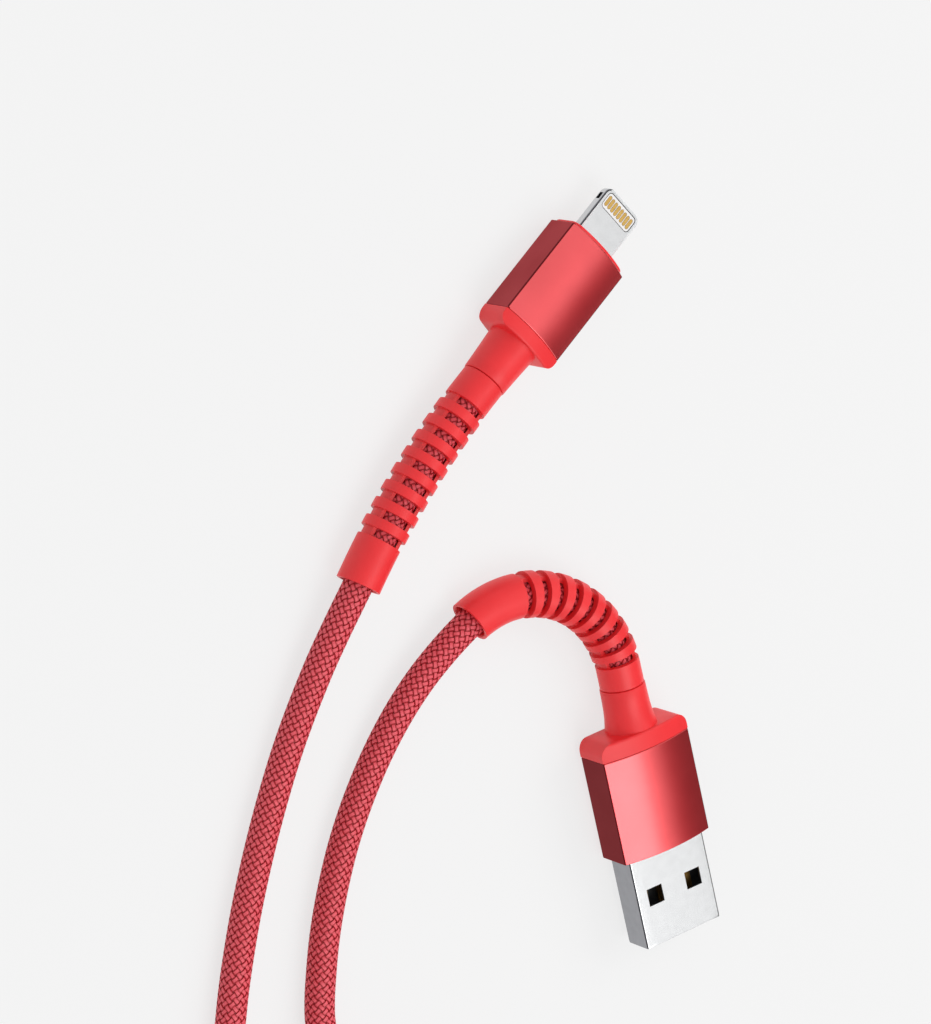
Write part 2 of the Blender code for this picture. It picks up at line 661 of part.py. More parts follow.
def make_contact_block(pivot, offset):
    """The white block that fills the tongue's window, with its tail back to the board."""
    window_front = PHONE["sleeve"] + TONGUE_REACH - WINDOW_SETBACK
    root_front = PHONE["sleeve"] + TRIM_PROUD - TRIM_DEPTH - SLIDE
    face = TONGUE_THICKNESS / 2 - BLOCK_RECESS
    outline = rounded_rectangle(WINDOW_LENGTH - 2 * FIT, WINDOW_WIDTH - 2 * FIT, WINDOW_CORNER - FIT,
                                (window_front - WINDOW_LENGTH / 2, 0.0))
    mesh = joined_loops("phone_contact_block", [level(-face, outline), level(face, outline)])
    block = add_object("phone_contact_block", mesh, pivot, offset)
    tail = box_mesh("phone_block_tail",
                    (root_front - ROOT_LENGTH, FIT - WINDOW_WIDTH / 2, FIT - CHANNEL_HEIGHT / 2),
                    (window_front - WINDOW_LENGTH / 2, WINDOW_WIDTH / 2 - FIT, CHANNEL_HEIGHT / 2 - FIT))
    combine(block, "UNION", "phone_block_tail", tail)
    for i, place in enumerate(contact_places(), 1):
        pocket = capsule(CONTACT_LENGTH + 2 * FIT, CONTACT_WIDTH + 2 * FIT, place)
        floor = face - CONTACT_THICKNESS - FIT
        for side, sign in (("top", 1), ("under", -1)):
            heights = sorted((sign * floor, sign * TONGUE_THICKNESS))
            name = f"phone_pocket_{side}_{i}"
            combine(block, "DIFFERENCE", name, joined_loops(name, [level(z, pocket) for z in heights]))
    return finish(block, "white")


def make_phone_contacts(pivot, offset):
    face = TONGUE_THICKNESS / 2 - BLOCK_RECESS
    for side, sign in (("top", 1), ("under", -1)):
        for i, place in enumerate(contact_places(), 1):
            outline = capsule(CONTACT_LENGTH, CONTACT_WIDTH, place)
            heights = sorted((sign * (face - CONTACT_THICKNESS), sign * face))
            name = f"phone_contact_{side}_{i}"
            mesh = joined_loops(name, [level(z, outline) for z in heights])
            finish(add_object(name, mesh, pivot, offset), "gold")


def make_board(pivot, offset):
    """The board behind the tongue, with a chip on top and a regulator below. Gives its rear."""
    front = PHONE["sleeve"] + TRIM_PROUD - TRIM_DEPTH - SLIDE - ROOT_LENGTH - SLIDE
    rear = front - BOARD_LENGTH
    half = BOARD_THICKNESS / 2
    mesh = box_mesh("phone_board", (rear, -BOARD_WIDTH / 2, -half), (front, BOARD_WIDTH / 2, half))
    finish(add_object("phone_board", mesh, pivot, offset), "board")
    chips = (("phone_chip", CHIP_SIZE, CHIP_HEIGHT, 1), ("phone_regulator", REGULATOR_SIZE, REGULATOR_HEIGHT, -1))
    middle = (rear + PAD_LENGTH + front) / 2
    for name, size, height, sign in chips:
        heights = sorted((sign * (half + FIT), sign * (half + height)))
        mesh = box_mesh(name, (middle - size / 2, -size / 2, heights[0]), (middle + size / 2, size / 2, heights[1]))
        finish(add_object(name, mesh, pivot, offset), "black")
    return rear


def make_phone_mould(pivot, offset):
    """The liner that holds tongue root and board in the sleeve."""
    outline = section(PHONE, SLEEVE_WALL + FIT)
    ends = (CAP_SPIGOT + SLIDE, PHONE["sleeve"] + TRIM_PROUD - TRIM_DEPTH - SLIDE)
    mesh = joined_loops("phone_inner_mould", [across(x, outline) for x in ends])
    mould = add_object("phone_inner_mould", mesh, pivot, offset)
    low = (ends[0] - CAP_SPIGOT, -cavityHalfWidth, -cavityHalfHeight)
    high = (ends[1] + CAP_SPIGOT, cavityHalfWidth, cavityHalfHeight)
    combine(mould, "DIFFERENCE", "phone_mould_cut", box_mesh("phone_mould_cut", low, high))
    return finish(mould, "white")


def make_trim(pivot, offset):
    """The bright front plate, a little proud of the sleeve, that the tongue stands in."""
    outline = section(PHONE, SLEEVE_WALL + FIT, corner=TRIM_CORNER)
    front = PHONE["sleeve"] + TRIM_PROUD
    mesh = joined_loops("phone_front_trim", [across(front - TRIM_DEPTH, outline), across(front, outline)])
    trim = add_object("phone_front_trim", mesh, pivot, offset)
    half = (TONGUE_WIDTH / 2 + FIT, TONGUE_THICKNESS / 2 + FIT)
    slot = box_mesh("phone_trim_cut", (front - 2 * TRIM_DEPTH, -half[0], -half[1]), (front + TRIM_DEPTH, *half))
    combine(trim, "DIFFERENCE", "phone_trim_cut", slot)
    return finish(trim, "soft_red")


# ---- Cord, coil and tie

def smooth_route(places):
    """Points read from a smooth curve through the places."""
    padded = [2 * places[0] - places[1]] + places + [2 * places[-1] - places[-2]]
    points = []
    for a, b, c, d in zip(padded, padded[1:], padded[2:], padded[3:]):
        for i in range(ROUTE_STEPS):
            t = i / ROUTE_STEPS
            points.append(b + t / 2 * ((c - a) + t * ((2 * a - 5 * b + 4 * c - d) + t * (3 * (b - c) + d - a))))
    return points + [places[-1]]


def coil_end(places):
    """The last place, moved along its bearing from the coil until the cord's end nearly meets it."""
    before, last = Vector(places[-2]), Vector(places[-1])
    bearing = (last - COIL_CENTRE).normalized()
    slant = abs((last - before).normalized().cross(bearing))
    return COIL_CENTRE + bearing * (COIL_RADIUS + coilHalfWidth + CORD_GAP + CORD_RADIUS * slant)


def make_run(plug, places, rise):
    """The cord from the boot's tail to the coil, coming down on the table along the way."""
    end, way = boot_place(plug, boot_length(plug))
    begin = end + CORD_GAP * Vector((math.cos(way), math.sin(way), 0))
    route = [begin]
    travelled = 0.0
    for place in (*places[:-1], coil_end(places)):
        step = Vector((*place, 0)) - Vector((route[-1].x, route[-1].y, 0))
        travelled += step.length
        left = max(0.0, 1 - travelled / RUN_SETTLES)
        height = CORD_RADIUS + (begin.z - CORD_RADIUS) * left**2
        route.append(Vector((*place, height)))
    for point, lift in zip(route[len(route) - len(rise):], rise):
        point.z += lift
    name = f"cord_run_{plug['name']}"
    return finish(tube(name, smooth_route(route), CORD_RADIUS), "braid")


def spun(radius, height, bearing):
    return (COIL_CENTRE.x + radius * math.cos(bearing), COIL_CENTRE.y + radius * math.sin(bearing), height)


coilHalfWidth = (COIL_LOWER_TURNS - 1) * COIL_PITCH / 2 + CORD_RADIUS
coilBottom = TIE_THICKNESS + SLIDE


def coil_corners():
    """The middles of the four turns at the section's corners, as (radius, height)."""
    low = coilBottom + CORD_RADIUS
    high = low + 2 * CORD_RADIUS
    inner = COIL_RADIUS - (COIL_LOWER_TURNS - 1) * COIL_PITCH / 2
    lower_outer = inner + (COIL_LOWER_TURNS - 1) * COIL_PITCH
    upper_outer = inner + (COIL_UPPER_TURNS - 1) * COIL_PITCH
    return [(lower_outer, low), (upper_outer, high), (inner, high), (inner, low)]


def coil_outline(room, lap=0.0):
    """A loop drawn tight round the turns, with room all round and more under the strap's end."""
    corners = coil_corners()
    lap_marks = (TIE_LAP[0], TIE_LAP[0] + TIE_LAP_SLOPE, TIE_LAP[1] - TIE_LAP_SLOPE, TIE_LAP[1])
    points = []
    for before, corner, after in zip(corners[-1:] + corners[:-1], corners, corners[1:] + corners[:1]):
        first = math.atan2(before[0] - corner[0], corner[1] - before[1])
        last = math.atan2(corner[0] - after[0], after[1] - corner[1])
        if last < first:
            last += 2 * math.pi
        bearings = [first + (last - first) * i / CORNER_STEPS for i in range(CORNER_STEPS + 1)]
        bearings += [a for a in lap_marks if first < a < last]
        for a in sorted(bearings):
            lapped = lap_marks[1] - 1e-6 < a < lap_marks[2] + 1e-6
            reach = CORD_RADIUS + room + (lap if lapped else 0.0)
            points.append((corner[0] + reach * math.cos(a), corner[1] + reach * math.sin(a)))
    return points


def make_coil():
    outline = coil_outline(0.0)
    bearings = [2 * math.pi * i / COIL_STEPS for i in range(COIL_STEPS)]
    loops = [[spun(r, z, a) for r, z in outline] for a in bearings]
    return finish(add_object("cord_coil", joined_loops("cord_coil", loops, closed=True)), "braid")


def make_tie():
    """A strap once round the coil's turns, its end lapped over its start."""
    steps = 3
    half_angle = TIE_WIDTH / 2 / COIL_RADIUS
    bearings = [TIE_BEARING + half_angle * (2 * i / steps - 1) for i in range(steps + 1)]
    outer = coil_outline(SLIDE + TIE_THICKNESS, TIE_THICKNESS)
    inner = coil_outline(SLIDE)
    loops = [[spun(r, z, a) for r, z in outer] for a in bearings]
    loops += [[spun(r, z, a) for r, z in inner] for a in reversed(bearings)]
    return finish(add_object("coil_tie", joined_loops("coil_tie", loops, closed=True)), "black")


# ---- Assembly

def plug_pivot(plug):
    """An empty on the boot's flex axis, turned with the plug, and the seam's place from there."""
    pivot = bpy.data.objects.new(plug["name"] + "_flex_pivot", None)
    bpy.context.scene.collection.objects.link(pivot)
    centre = flex_centre(plug)
    pivot.location = (centre.x, centre.y, plug["top"])
    pivot.rotation_euler.z = plug["heading"]
    away = Vector((*plug["seam"], plug["top"])) - pivot.location
    return pivot, Matrix.Rotation(-plug["heading"], 3, "Z") @ away


def make_shared_pieces(plug, pivot, offset):
    make_sleeve(plug, pivot, offset)
    make_end_cap(plug, pivot, offset)
    make_clamp(plug, pivot, offset)
    make_lead(plug)
    make_boot(plug)


def build():
    for thing in list(bpy.data.objects):
        bpy.data.objects.remove(thing, do_unlink=True)

    pivot, offset = plug_pivot(HOST)
    make_shared_pieces(HOST, pivot, offset)
    make_host_shell(pivot, offset)
    make_host_carrier(pivot, offset)
    make_host_contacts(pivot, offset)
    make_host_mould(pivot, offset)
    tails = HOST["sleeve"] - HOST_SHELL_TAIL - HOST_CONTACT_TAIL - SLIDE
    height = HOST_TONGUE_TOP + FIT + HOST_CONTACT_THICKNESS / 2
    make_wires(HOST, pivot, offset, [(tails, y, height) for y in HOST_CONTACT_PLACES])

    pivot, offset = plug_pivot(PHONE)
    make_shared_pieces(PHONE, pivot, offset)
    make_tongue(pivot, offset)
    make_contact_block(pivot, offset)
    make_phone_contacts(pivot, offset)
    rear = make_board(pivot, offset)
    make_phone_mould(pivot, offset)
    make_trim(pivot, offset)
    height = BOARD_THICKNESS / 2 + FIT + WIRE_RADIUS
    sides = ((-1, -1), (-1, 1), (1, 1), (1, -1))
    pads = [(rear + PAD_LENGTH, side * PAD_PLACE, rise * height) for side, rise in sides]
    make_wires(PHONE, pivot, offset, pads)

    make_run(PHONE, PHONE_RUN, PHONE_RUN_RISE)
    make_run(HOST, HOST_RUN, HOST_RUN_RISE)
    make_coil()
    make_tie()


build()
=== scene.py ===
import math

import bmesh
import bpy
import numpy as np
from mathutils import Matrix, Vector


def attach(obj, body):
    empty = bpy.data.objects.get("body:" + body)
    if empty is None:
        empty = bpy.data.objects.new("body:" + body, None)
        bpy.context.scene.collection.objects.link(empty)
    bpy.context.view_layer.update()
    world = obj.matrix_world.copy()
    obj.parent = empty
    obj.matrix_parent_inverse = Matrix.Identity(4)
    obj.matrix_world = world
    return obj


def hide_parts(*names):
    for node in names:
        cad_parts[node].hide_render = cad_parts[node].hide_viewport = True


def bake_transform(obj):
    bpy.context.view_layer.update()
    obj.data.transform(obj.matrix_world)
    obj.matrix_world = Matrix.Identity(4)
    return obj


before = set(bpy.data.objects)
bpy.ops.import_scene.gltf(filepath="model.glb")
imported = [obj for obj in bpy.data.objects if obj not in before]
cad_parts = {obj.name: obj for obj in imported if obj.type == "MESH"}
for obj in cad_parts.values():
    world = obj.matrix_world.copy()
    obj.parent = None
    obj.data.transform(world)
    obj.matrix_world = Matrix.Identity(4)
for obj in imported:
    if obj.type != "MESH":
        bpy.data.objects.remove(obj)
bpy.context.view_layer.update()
mm = 0.001


def place(*values):  # millimetres in, metres out
    return Vector([v * mm for v in values])


def addObject(name, data):
    thing = bpy.data.objects.new(name, data)
    bpy.context.scene.collection.objects.link(thing)
    return thing


# camera, at the photo's angle
print("camera")
cameraSetup = {
    "spot": place(-256.303, 165.327, 445.594),
    "right": Vector((0.8199, -0.2095, 0.5328)),
    "up": Vector((0.3257, 0.9360, -0.1332)),
    "lens": 146.91,
}


def addCamera(c):
    right = c["right"].normalized()
    up = (c["up"] - right * c["up"].dot(right)).normalized()
    data = bpy.data.cameras.new("camera")
    data.lens = c["lens"]
    data.sensor_width = 36
    data.clip_start = 0.02
    data.clip_end = 20
    camera = addObject("camera", data)
    turned = Matrix((right, up, right.cross(up))).transposed()
    camera.matrix_world = Matrix.Translation(c["spot"]) @ turned.to_4x4()
    bpy.context.scene.camera = camera


addCamera(cameraSetup)

# where each plug lies: the seam between sleeve and end cap, and the way to the tip
hostPlug = {
    "name": "host", "body": "host_plug", "seam": place(9.836, -22.439, 3.775), "heading": math.radians(270),
    "halfWidth": 6.9, "top": 3.775, "crown": 1.15, "sleeve": 14.4, "cap": 2.45, "corner": 1.75,
    "neckEnd": 8.20, "straight": 2.6, "bend": math.radians(112.1), "head": 3.4, "ring": 1.23,
    "slot": 1.10, "tail": 7.5,
}
phonePlug = {
    "name": "phone", "body": "phone_plug", "seam": place(6.261, 35.435, 3.765), "heading": math.radians(31.2),
    "halfWidth": 5.275, "top": 3.765, "crown": 1.2, "sleeve": 14.25, "cap": 2.00, "corner": 1.45,
    "neckEnd": 8.10, "straight": 0.4, "bend": math.radians(16.5), "head": 4.0, "ring": 1.28,
    "slot": 1.16, "tail": 6.0,
}
boot = {
    "rings": 8, "radius": 2.95, "ringRadius": 3.07, "webRadius": 2.62, "bore": 2.15, "mouth": 2.55,
    "slotFloor": 1.15, "tailHeight": 3.05, "openingSteps": 14, "webSteps": 8, "edge": 0.09,
    "start": 0.12,  # its front face, past the end of the neck
    "headCuts": 5, "ringCuts": 2, "tailCuts": 9,
}


def bootLength(plug):
    return plug["head"] + plug["tail"] + boot["rings"] * plug["ring"] + (boot["rings"] + 1) * plug["slot"]


def bootPoint(plug, along):  # the boot's middle, millimetres from the neck, and its way on the table
    start = plug["heading"] + math.pi
    straight = min(along, plug["straight"])
    bent = along - straight
    run = bootLength(plug) - plug["straight"]
    rate = plug["bend"] / run
    turn = start + bent * rate
    seam = plug["seam"] / mm
    reach = plug["neckEnd"] + straight
    x = seam.x + reach * math.cos(start) + (math.sin(turn) - math.sin(start)) / rate
    y = seam.y + reach * math.sin(start) + (math.cos(start) - math.cos(turn)) / rate
    z = plug["top"] - (plug["top"] - boot["tailHeight"]) * bent / run
    return np.array([x, y, z]), turn


# the cord's route, millimetres: phone boot, table, coil, table, host boot
print("cord route")
cord = {
    "diameter": 3.9,
    "overlap": 3.0,  # how far the free cord starts inside each boot's tail
    "coilCentre": (-45.78, -86.30),
    "away": (-0.3910, -0.9204),  # out of the view, along the coil's own first axis
    "columns": (26.8, 22.8, 18.8),  # radii of the turns
    "layer": 3.90,
    "spacing": 0.5,  # between the points of the finished line
    "stepDegrees": 15,
    "tieLift": 0.9,
    "leaves": 245.0,  # degrees into its last turn
    "settles": (0, 25),  # from the boot's tail, where it comes down to the table
    "steps": (300, 60),  # degrees into a turn where it moves sideways, and over how many
    "climbs": (248, 52),
    "stepsBack": (190, 58),
    "tieSpan": (12, 60),  # degrees beside the strap where it is lifted, and over how many it comes down
    "enters": (44.0, 5),  # pull of the smooth stretch into the coil, and its points
    "runsOut": (36.0, 7),
    "drops": (30.5, 17),  # from the coil's centre, where the last turn comes down
    "hiddenFrom": -36.0,  # along the coil's first axis, where the plainer sleeve takes over
    "woundUnder": 0.03,  # that sleeve, below the yarns' top
    "woundOverlap": 2,  # points that both have at each change
    "leadStart": 0.2,  # in each plug, behind the seam
}
phoneRun = [
    (-28.74, 7.38), (-31.39, 4.40), (-33.86, 1.27), (-36.30, -1.89), (-38.67, -5.10), (-40.90, -8.42),
    (-43.08, -11.76), (-45.19, -15.14), (-47.14, -18.63), (-49.10, -22.12), (-50.87, -25.73),
    (-52.59, -29.37), (-54.20, -33.07), (-54.90, -34.99),
]
hostRun = [
    (-43.37, -40.96), (-42.77, -38.97), (-41.50, -35.02), (-40.12, -31.13), (-38.39, -27.44),
    (-36.51, -23.84), (-34.49, -20.34), (-32.18, -17.03), (-29.65, -13.88), (-27.04, -10.80),
    (-24.20, -7.93), (-21.23, -5.15), (-17.96, -2.70), (-14.47, -0.52),
]


def ramped(value, span):
    """A smooth rise from 0 to 1. Span gives where it begins and how long it is."""
    t = min(max((value - span[0]) / span[1], 0.0), 1.0)
    return t * t * (3 - 2 * t)


def coilPoints(c):
    """Turn by turn: three below from outside in, then two above from inside out."""
    points = []
    outer, middle, inner = c["columns"]
    for degrees in range(0, int(4 * 360 + c["leaves"]) + 1, c["stepDegrees"]):
        turn, t = divmod(degrees, 360)
        sideways = ramped(t, c["steps"])
        if turn == 0:
            radius, height = outer + (middle - outer) * sideways, 0.0
        elif turn == 1:
            radius, height = middle + (inner - middle) * sideways, 0.0
        elif turn == 2:
            radius, height = inner, ramped(t, c["climbs"])
        elif turn == 3:
            radius, height = inner + (middle - inner) * ramped(t, c["stepsBack"]), 1.0
        else:
            radius, height = middle, 1.0
        overTie = 1 - ramped(abs(t - 90), c["tieSpan"])
        angle = math.radians(t - 90)
        z = c["diameter"] / 2 + c["tieLift"] * overTie + height * c["layer"]
        points.append((radius * math.cos(angle), radius * math.sin(angle), z))
    return points


def coilToTable(points, c):
    away = np.array(c["away"])
    aside = np.array([-away[1], away[0]])
    first, second, height = (np.array(values) for values in zip(*points))
    flat = np.array(c["coilCentre"]) + np.outer(first, away) + np.outer(second, aside)
    return np.column_stack([flat, height])


def bridge(before, after, pull, count):
    """A smooth stretch from the end of one line to the start of the next, in their directions."""
    first, last = before[-1], after[0]
    firstWay, lastWay = before[-1] - before[-2], after[1] - after[0]
    firstWay, lastWay = firstWay / np.linalg.norm(firstWay), lastWay / np.linalg.norm(lastWay)
    t = np.linspace(0, 1, count + 2)[1:-1, None]
    bend = (2 * t**3 - 3 * t**2 + 1) * first + (t**3 - 2 * t**2 + t) * pull * firstWay
    return bend + (3 * t**2 - 2 * t**3) * last + (t**3 - t**2) * pull * lastWay


def smoothLine(points, spacing, perSpan=24):
    """Even spacing along a Catmull-Rom curve, after one pass that evens out small steps."""
    points[1:-1] = 0.5 * points[1:-1] + 0.25 * (points[:-2] + points[2:])
    padded = np.vstack([2 * points[0] - points[1], points, 2 * points[-1] - points[-2]])
    a, b, c, d = (padded[i : len(padded) - 3 + i, None] for i in range(4))
    t = np.linspace(0, 1, perSpan, endpoint=False)[None, :, None]
    curve = b + t / 2 * ((c - a) + t * ((2 * a - 5 * b + 4 * c - d) + t * (3 * (b - c) + d - a)))
    curve = np.vstack([curve.reshape(-1, points.shape[1]), points[-1]])
    return evenly(curve, spacing)


def lengthAlong(line):
    return np.concatenate([[0], np.cumsum(np.linalg.norm(np.diff(line, axis=0), axis=1))])


def evenly(curve, spacing):
    along = lengthAlong(curve)
    steps = max(2, round(along[-1] / spacing))
    at = np.linspace(0, along[-1], steps + 1)
    return np.column_stack([np.interp(at, along, curve[:, k]) for k in range(curve.shape[1])])


def settle(run, tailSpot, radius):  # down from the boot's tail to the table over the first stretch
    run = np.array(run, float)
    far = np.linalg.norm(run - tailSpot[:2], axis=1)
    drop = np.array([1 - ramped(d, cord["settles"]) for d in far])
    return np.column_stack([run, radius + (tailSpot[2] - radius) * drop])


def cordRoute(c):
    radius = c["diameter"] / 2
    ends = {}
    for plug in (phonePlug, hostPlug):
        long = bootLength(plug)
        ends[plug["name"]] = [bootPoint(plug, long - back)[0] for back in (c["overlap"], c["overlap"] / 2, 0)]
    away = settle(phoneRun, ends["phone"][-1], radius)
    back = settle(hostRun[::-1], ends["host"][-1], radius)[::-1]
    coil = coilToTable(coilPoints(c), c)
    entry = bridge(away, coil, *c["enters"])
    leave = bridge(coil, back, *c["runsOut"])
    far = np.linalg.norm(leave[:, :2] - np.array(c["coilCentre"]), axis=1)
    leave[:, 2] = [radius + c["layer"] * (1 - ramped(f, c["drops"])) for f in far]
    whole = np.vstack([ends["phone"], away, entry, coil, leave, back, ends["host"][::-1]])
    return smoothLine(whole, c["spacing"])


route = cordRoute(cord)
print(f"free cord {lengthAlong(route)[-1]:.0f} mm")


# materials: colours as sRGB hex, patterns in real millimetres
print("materials")


def linear(code):
    parts = [int(code[i : i + 2], 16) / 255 for i in (1, 3, 5)]
    return (*[p / 12.92 if p <= 0.04045 else ((p + 0.055) / 1.055) ** 2.4 for p in parts], 1.0)


def addNode(tree, kind, settings=None, links=None):
    """Settings name sockets or properties. Links name an input and the socket that feeds it."""
    node = tree.nodes.new(kind)
    for key, value in (settings or {}).items():
        if isinstance(key, int) or key in node.inputs:
            node.inputs[key].default_value = value
        else:
            setattr(node, key, value)
    for key, source in (links or {}).items():
        tree.links.new(source, node.inputs[key])
    return node


def newMaterial(name, **sockets):
    material = bpy.data.materials.new(name)
    material.use_nodes = True
    tree = material.node_tree
    shader = tree.nodes["Principled BSDF"]
    for key, value in sockets.items():
        shader.inputs[key.replace("_", " ")].default_value = value
    return material, tree, shader


def spots(tree, size, detail=2.0):
    """Noise whose grains are about this many millimetres, in the object's own space."""
    where = addNode(tree, "ShaderNodeTexCoord")
    scaled = addNode(tree, "ShaderNodeMapping", {"Scale": [1 / mm / size] * 3}, {"Vector": where.outputs["Object"]})
    noise = addNode(tree, "ShaderNodeTexNoise", {"Scale": 1.0, "Detail": detail}, {"Vector": scaled.outputs[0]})
    return noise.outputs[0]


def ramp(tree, value, low, high, fromLow=0.3, fromHigh=0.7):
    return addNode(
        tree, "ShaderNodeMapRange",
        {"From Min": fromLow, "From Max": fromHigh, "To Min": low, "To Max": high}, {"Value": value},
    ).outputs[0]


def mathNode(tree, operation, *values):
    node = addNode(tree, "ShaderNodeMath", {"operation": operation})
    for index, value in enumerate(values):
        if isinstance(value, (int, float)):
            node.inputs[index].default_value = value
        else:
            tree.links.new(value, node.inputs[index])
    return node.outputs[0]


def gapNode(tree, first, second):
    return mathNode(tree, "ABSOLUTE", mathNode(tree, "SUBTRACT", first, second))


def blendColours(tree, factor, first, second):
    mix = addNode(tree, "ShaderNodeMix", {"data_type": "RGBA"}, {0: factor})
    for index, colour in ((6, first), (7, second)):
        if isinstance(colour, str):
            mix.inputs[index].default_value = linear(colour)
        elif isinstance(colour, tuple):
            mix.inputs[index].default_value = colour
        else:
            tree.links.new(colour, mix.inputs[index])
    return mix.outputs[2]


def mottle(tree, shader, pattern, bright, deep):
    colour = blendColours(tree, ramp(tree, pattern, 0, 1), bright, deep)
    tree.links.new(colour, shader.inputs["Base Color"])


def bump(tree, shader, height, depth, strength=1.0):  # depth in millimetres
    node = addNode(tree, "ShaderNodeBump", {"Strength": strength, "Distance": depth * mm}, {"Height": height})
    tree.links.new(node.outputs[0], shader.inputs["Normal"])


finish = {
    # the yarns' low and outline colours are painted shade, where they dip under and along their edges
    "yarn": "#F6606D", "yarnDeep": "#EC5561", "yarnDipShade": "#BC2932", "outline": "#AC1F29",
    # the coil's dark between the bars is the jacket seen there, deepened with painted shade
    "wound": "#E6525E", "woundGapShade": "#8F141D", "core": "#D63742", "coreDeep": "#CC303B",
    "board": "#1C5B3A", "copper": "#2F7A50", "strap": "#1A1A1C", "strapLoops": "#2B2B2E",
}


def anodisedAluminium(name, bright, deep, metallic, coat, edge=(1, 1, 1, 1)):
    """Sandblasted and dyed: a satin metal with a very fine grain under a hard clear skin. Darker copies of it are
    painted shade.
    """
    material, tree, shader = newMaterial(
        name, Metallic=metallic, Roughness=0.38, Specular_Tint=edge,
        Coat_Weight=coat, Coat_Roughness=0.24, Coat_IOR=1.77,
    )
    mottle(tree, shader, spots(tree, size=6.0), bright, deep)
    grit = spots(tree, size=0.11, detail=3.0)  # real grit is finer, drawn as coarse as it can show
    bump(tree, shader, grit, depth=0.008, strength=0.6)
    return material


def softElastomer(name, bright, deep):
    """Injection moulded TPE: even and matt, with a faint skin texture from the mould."""
    material, tree, shader = newMaterial(
        name, Roughness=0.41, IOR=1.5, Subsurface_Weight=0.05, Subsurface_Scale=0.5 * mm,
    )
    shader.inputs["Subsurface Radius"].default_value = (1.0, 0.2, 0.2)
    mottle(tree, shader, spots(tree, size=4.0), bright, deep)
    bump(tree, shader, spots(tree, size=0.16), depth=0.006, strength=0.5)
    return material


braid = {
    "carriers": 12,  # yarns each way round
    "row": 1.05,  # millimetres along the cord for each yarn's next time on top
    "rowCuts": 4,  # cuts across each yarn per row
    "width": 0.57,
    "thick": 0.17,
    "outer": 1.95,
    "dip": 0.15,
    "middle": 0.1,  # below the outside, where the yarns' angle is taken
    "flank": 2.2,  # how steeply a yarn goes under
    "jacket": 1.70,
    "onTop": (0.21, 0.27),  # shares of a row between which a yarn turns from light to the painted shade where it dips under
    "inside": (0.50, 0.72),  # shares of its half width between which its outline, a painted shade, begins
    "barWide": (0.25, 0.35),  # the same edges on the coil, in yarns
    "barLong": (0.46, 0.58),
}


def nylonYarn():
    """Flat bundles of nylon fibre, with painted shade: deep red at the edges and where they dip under, lighter on
    top.
    """
    material, tree, shader = newMaterial("braidedNylonYarn", Roughness=0.52, IOR=1.53)
    where = addNode(tree, "ShaderNodeUVMap", {"uv_map": "yarn"})
    apart = addNode(tree, "ShaderNodeSeparateXYZ", {}, {0: where.outputs[0]})
    across, along = apart.outputs[0], apart.outputs[1]
    dip = gapNode(tree, along, mathNode(tree, "ROUND", along))
    onTop = ramp(tree, dip, 1.0, 0.0, *braid["onTop"])
    inside = ramp(tree, mathNode(tree, "ABSOLUTE", across), 1.0, 0.0, *braid["inside"])
    scaled = addNode(tree, "ShaderNodeMapping", {"Scale": (7, 1.2, 1)}, {"Vector": where.outputs[0]})
    fibres = addNode(tree, "ShaderNodeTexNoise", {"Scale": 1.0, "Detail": 2.0}, {"Vector": scaled.outputs[0]})
    bright = blendColours(tree, ramp(tree, fibres.outputs[0], 0, 1), finish["yarn"], finish["yarnDeep"])
    # painted shade where a yarn dips under and along its edges
    facing = blendColours(tree, onTop, finish["yarnDipShade"], bright)
    colour = blendColours(tree, inside, finish["outline"], facing)
    tree.links.new(colour, shader.inputs["Base Color"])
    bump(tree, shader, fibres.outputs[0], depth=0.02, strength=0.5)
    return material


def cordJacket():
    """Extruded jacket under the braid: smooth and darker, seen only between the yarns."""
    material, tree, shader = newMaterial("extrudedJacket", Roughness=0.35, IOR=1.5)
    mottle(tree, shader, spots(tree, size=2.0), finish["core"], finish["coreDeep"])
    return material


def platedMetal(name, bright, dull, roughness):
    """Plating over drawn sheet: smooth, with a faint fine grain. Its darker copies are painted shade and painted
    dark reflection.
    """
    material, tree, shader = newMaterial(name, Metallic=1.0, Roughness=roughness)
    mottle(tree, shader, spots(tree, size=1.2, detail=3.0), bright, dull)
    bump(tree, shader, spots(tree, size=0.09), depth=0.002, strength=0.5)
    return material


def plainPlastic(name, colour, roughness=0.42):
    """Small moulded or extruded parts: even colour with the faintest unevenness of the mould."""
    material, tree, shader = newMaterial(name, Roughness=roughness, IOR=1.5)
    deeper = tuple(c * 0.9 for c in linear(colour)[:3]) + (1.0,)
    mottle(tree, shader, spots(tree, size=1.5), colour, deeper)
    bump(tree, shader, spots(tree, size=0.15), depth=0.004, strength=0.4)
    return material


def circuitBoard():
    """Glass epoxy with green solder mask, whose traces show as slightly lighter lines."""
    material, tree, shader = newMaterial("solderMaskedBoard", Roughness=0.35, IOR=1.55)
    where = addNode(tree, "ShaderNodeTexCoord")
    scaled = addNode(tree, "ShaderNodeMapping", {"Scale": (900, 900, 900)}, {"Vector": where.outputs["Object"]})
    lines = addNode(
        tree, "ShaderNodeTexBrick",
        {"Color1": (0, 0, 0, 1), "Color2": (0, 0, 0, 1), "Mortar": (1, 1, 1, 1), "Scale": 1.0, "Mortar Size": 0.05},
        {"Vector": scaled.outputs[0]},
    )
    colour = blendColours(tree, lines.outputs[0], finish["board"], finish["copper"])
    tree.links.new(colour, shader.inputs["Base Color"])
    bump(tree, shader, lines.outputs[0], depth=0.03, strength=0.5)
    return material


def hookAndLoop():
    """Woven strap with a napped face: matt black, with a short uneven pile."""
    material, tree, shader = newMaterial("hookAndLoopStrap", Roughness=0.9, IOR=1.5, Sheen_Weight=0.3)
    pile = spots(tree, size=0.35, detail=4.0)
    mottle(tree, shader, pile, finish["strap"], finish["strapLoops"])
    bump(tree, shader, pile, depth=0.15, strength=0.8)
    return material


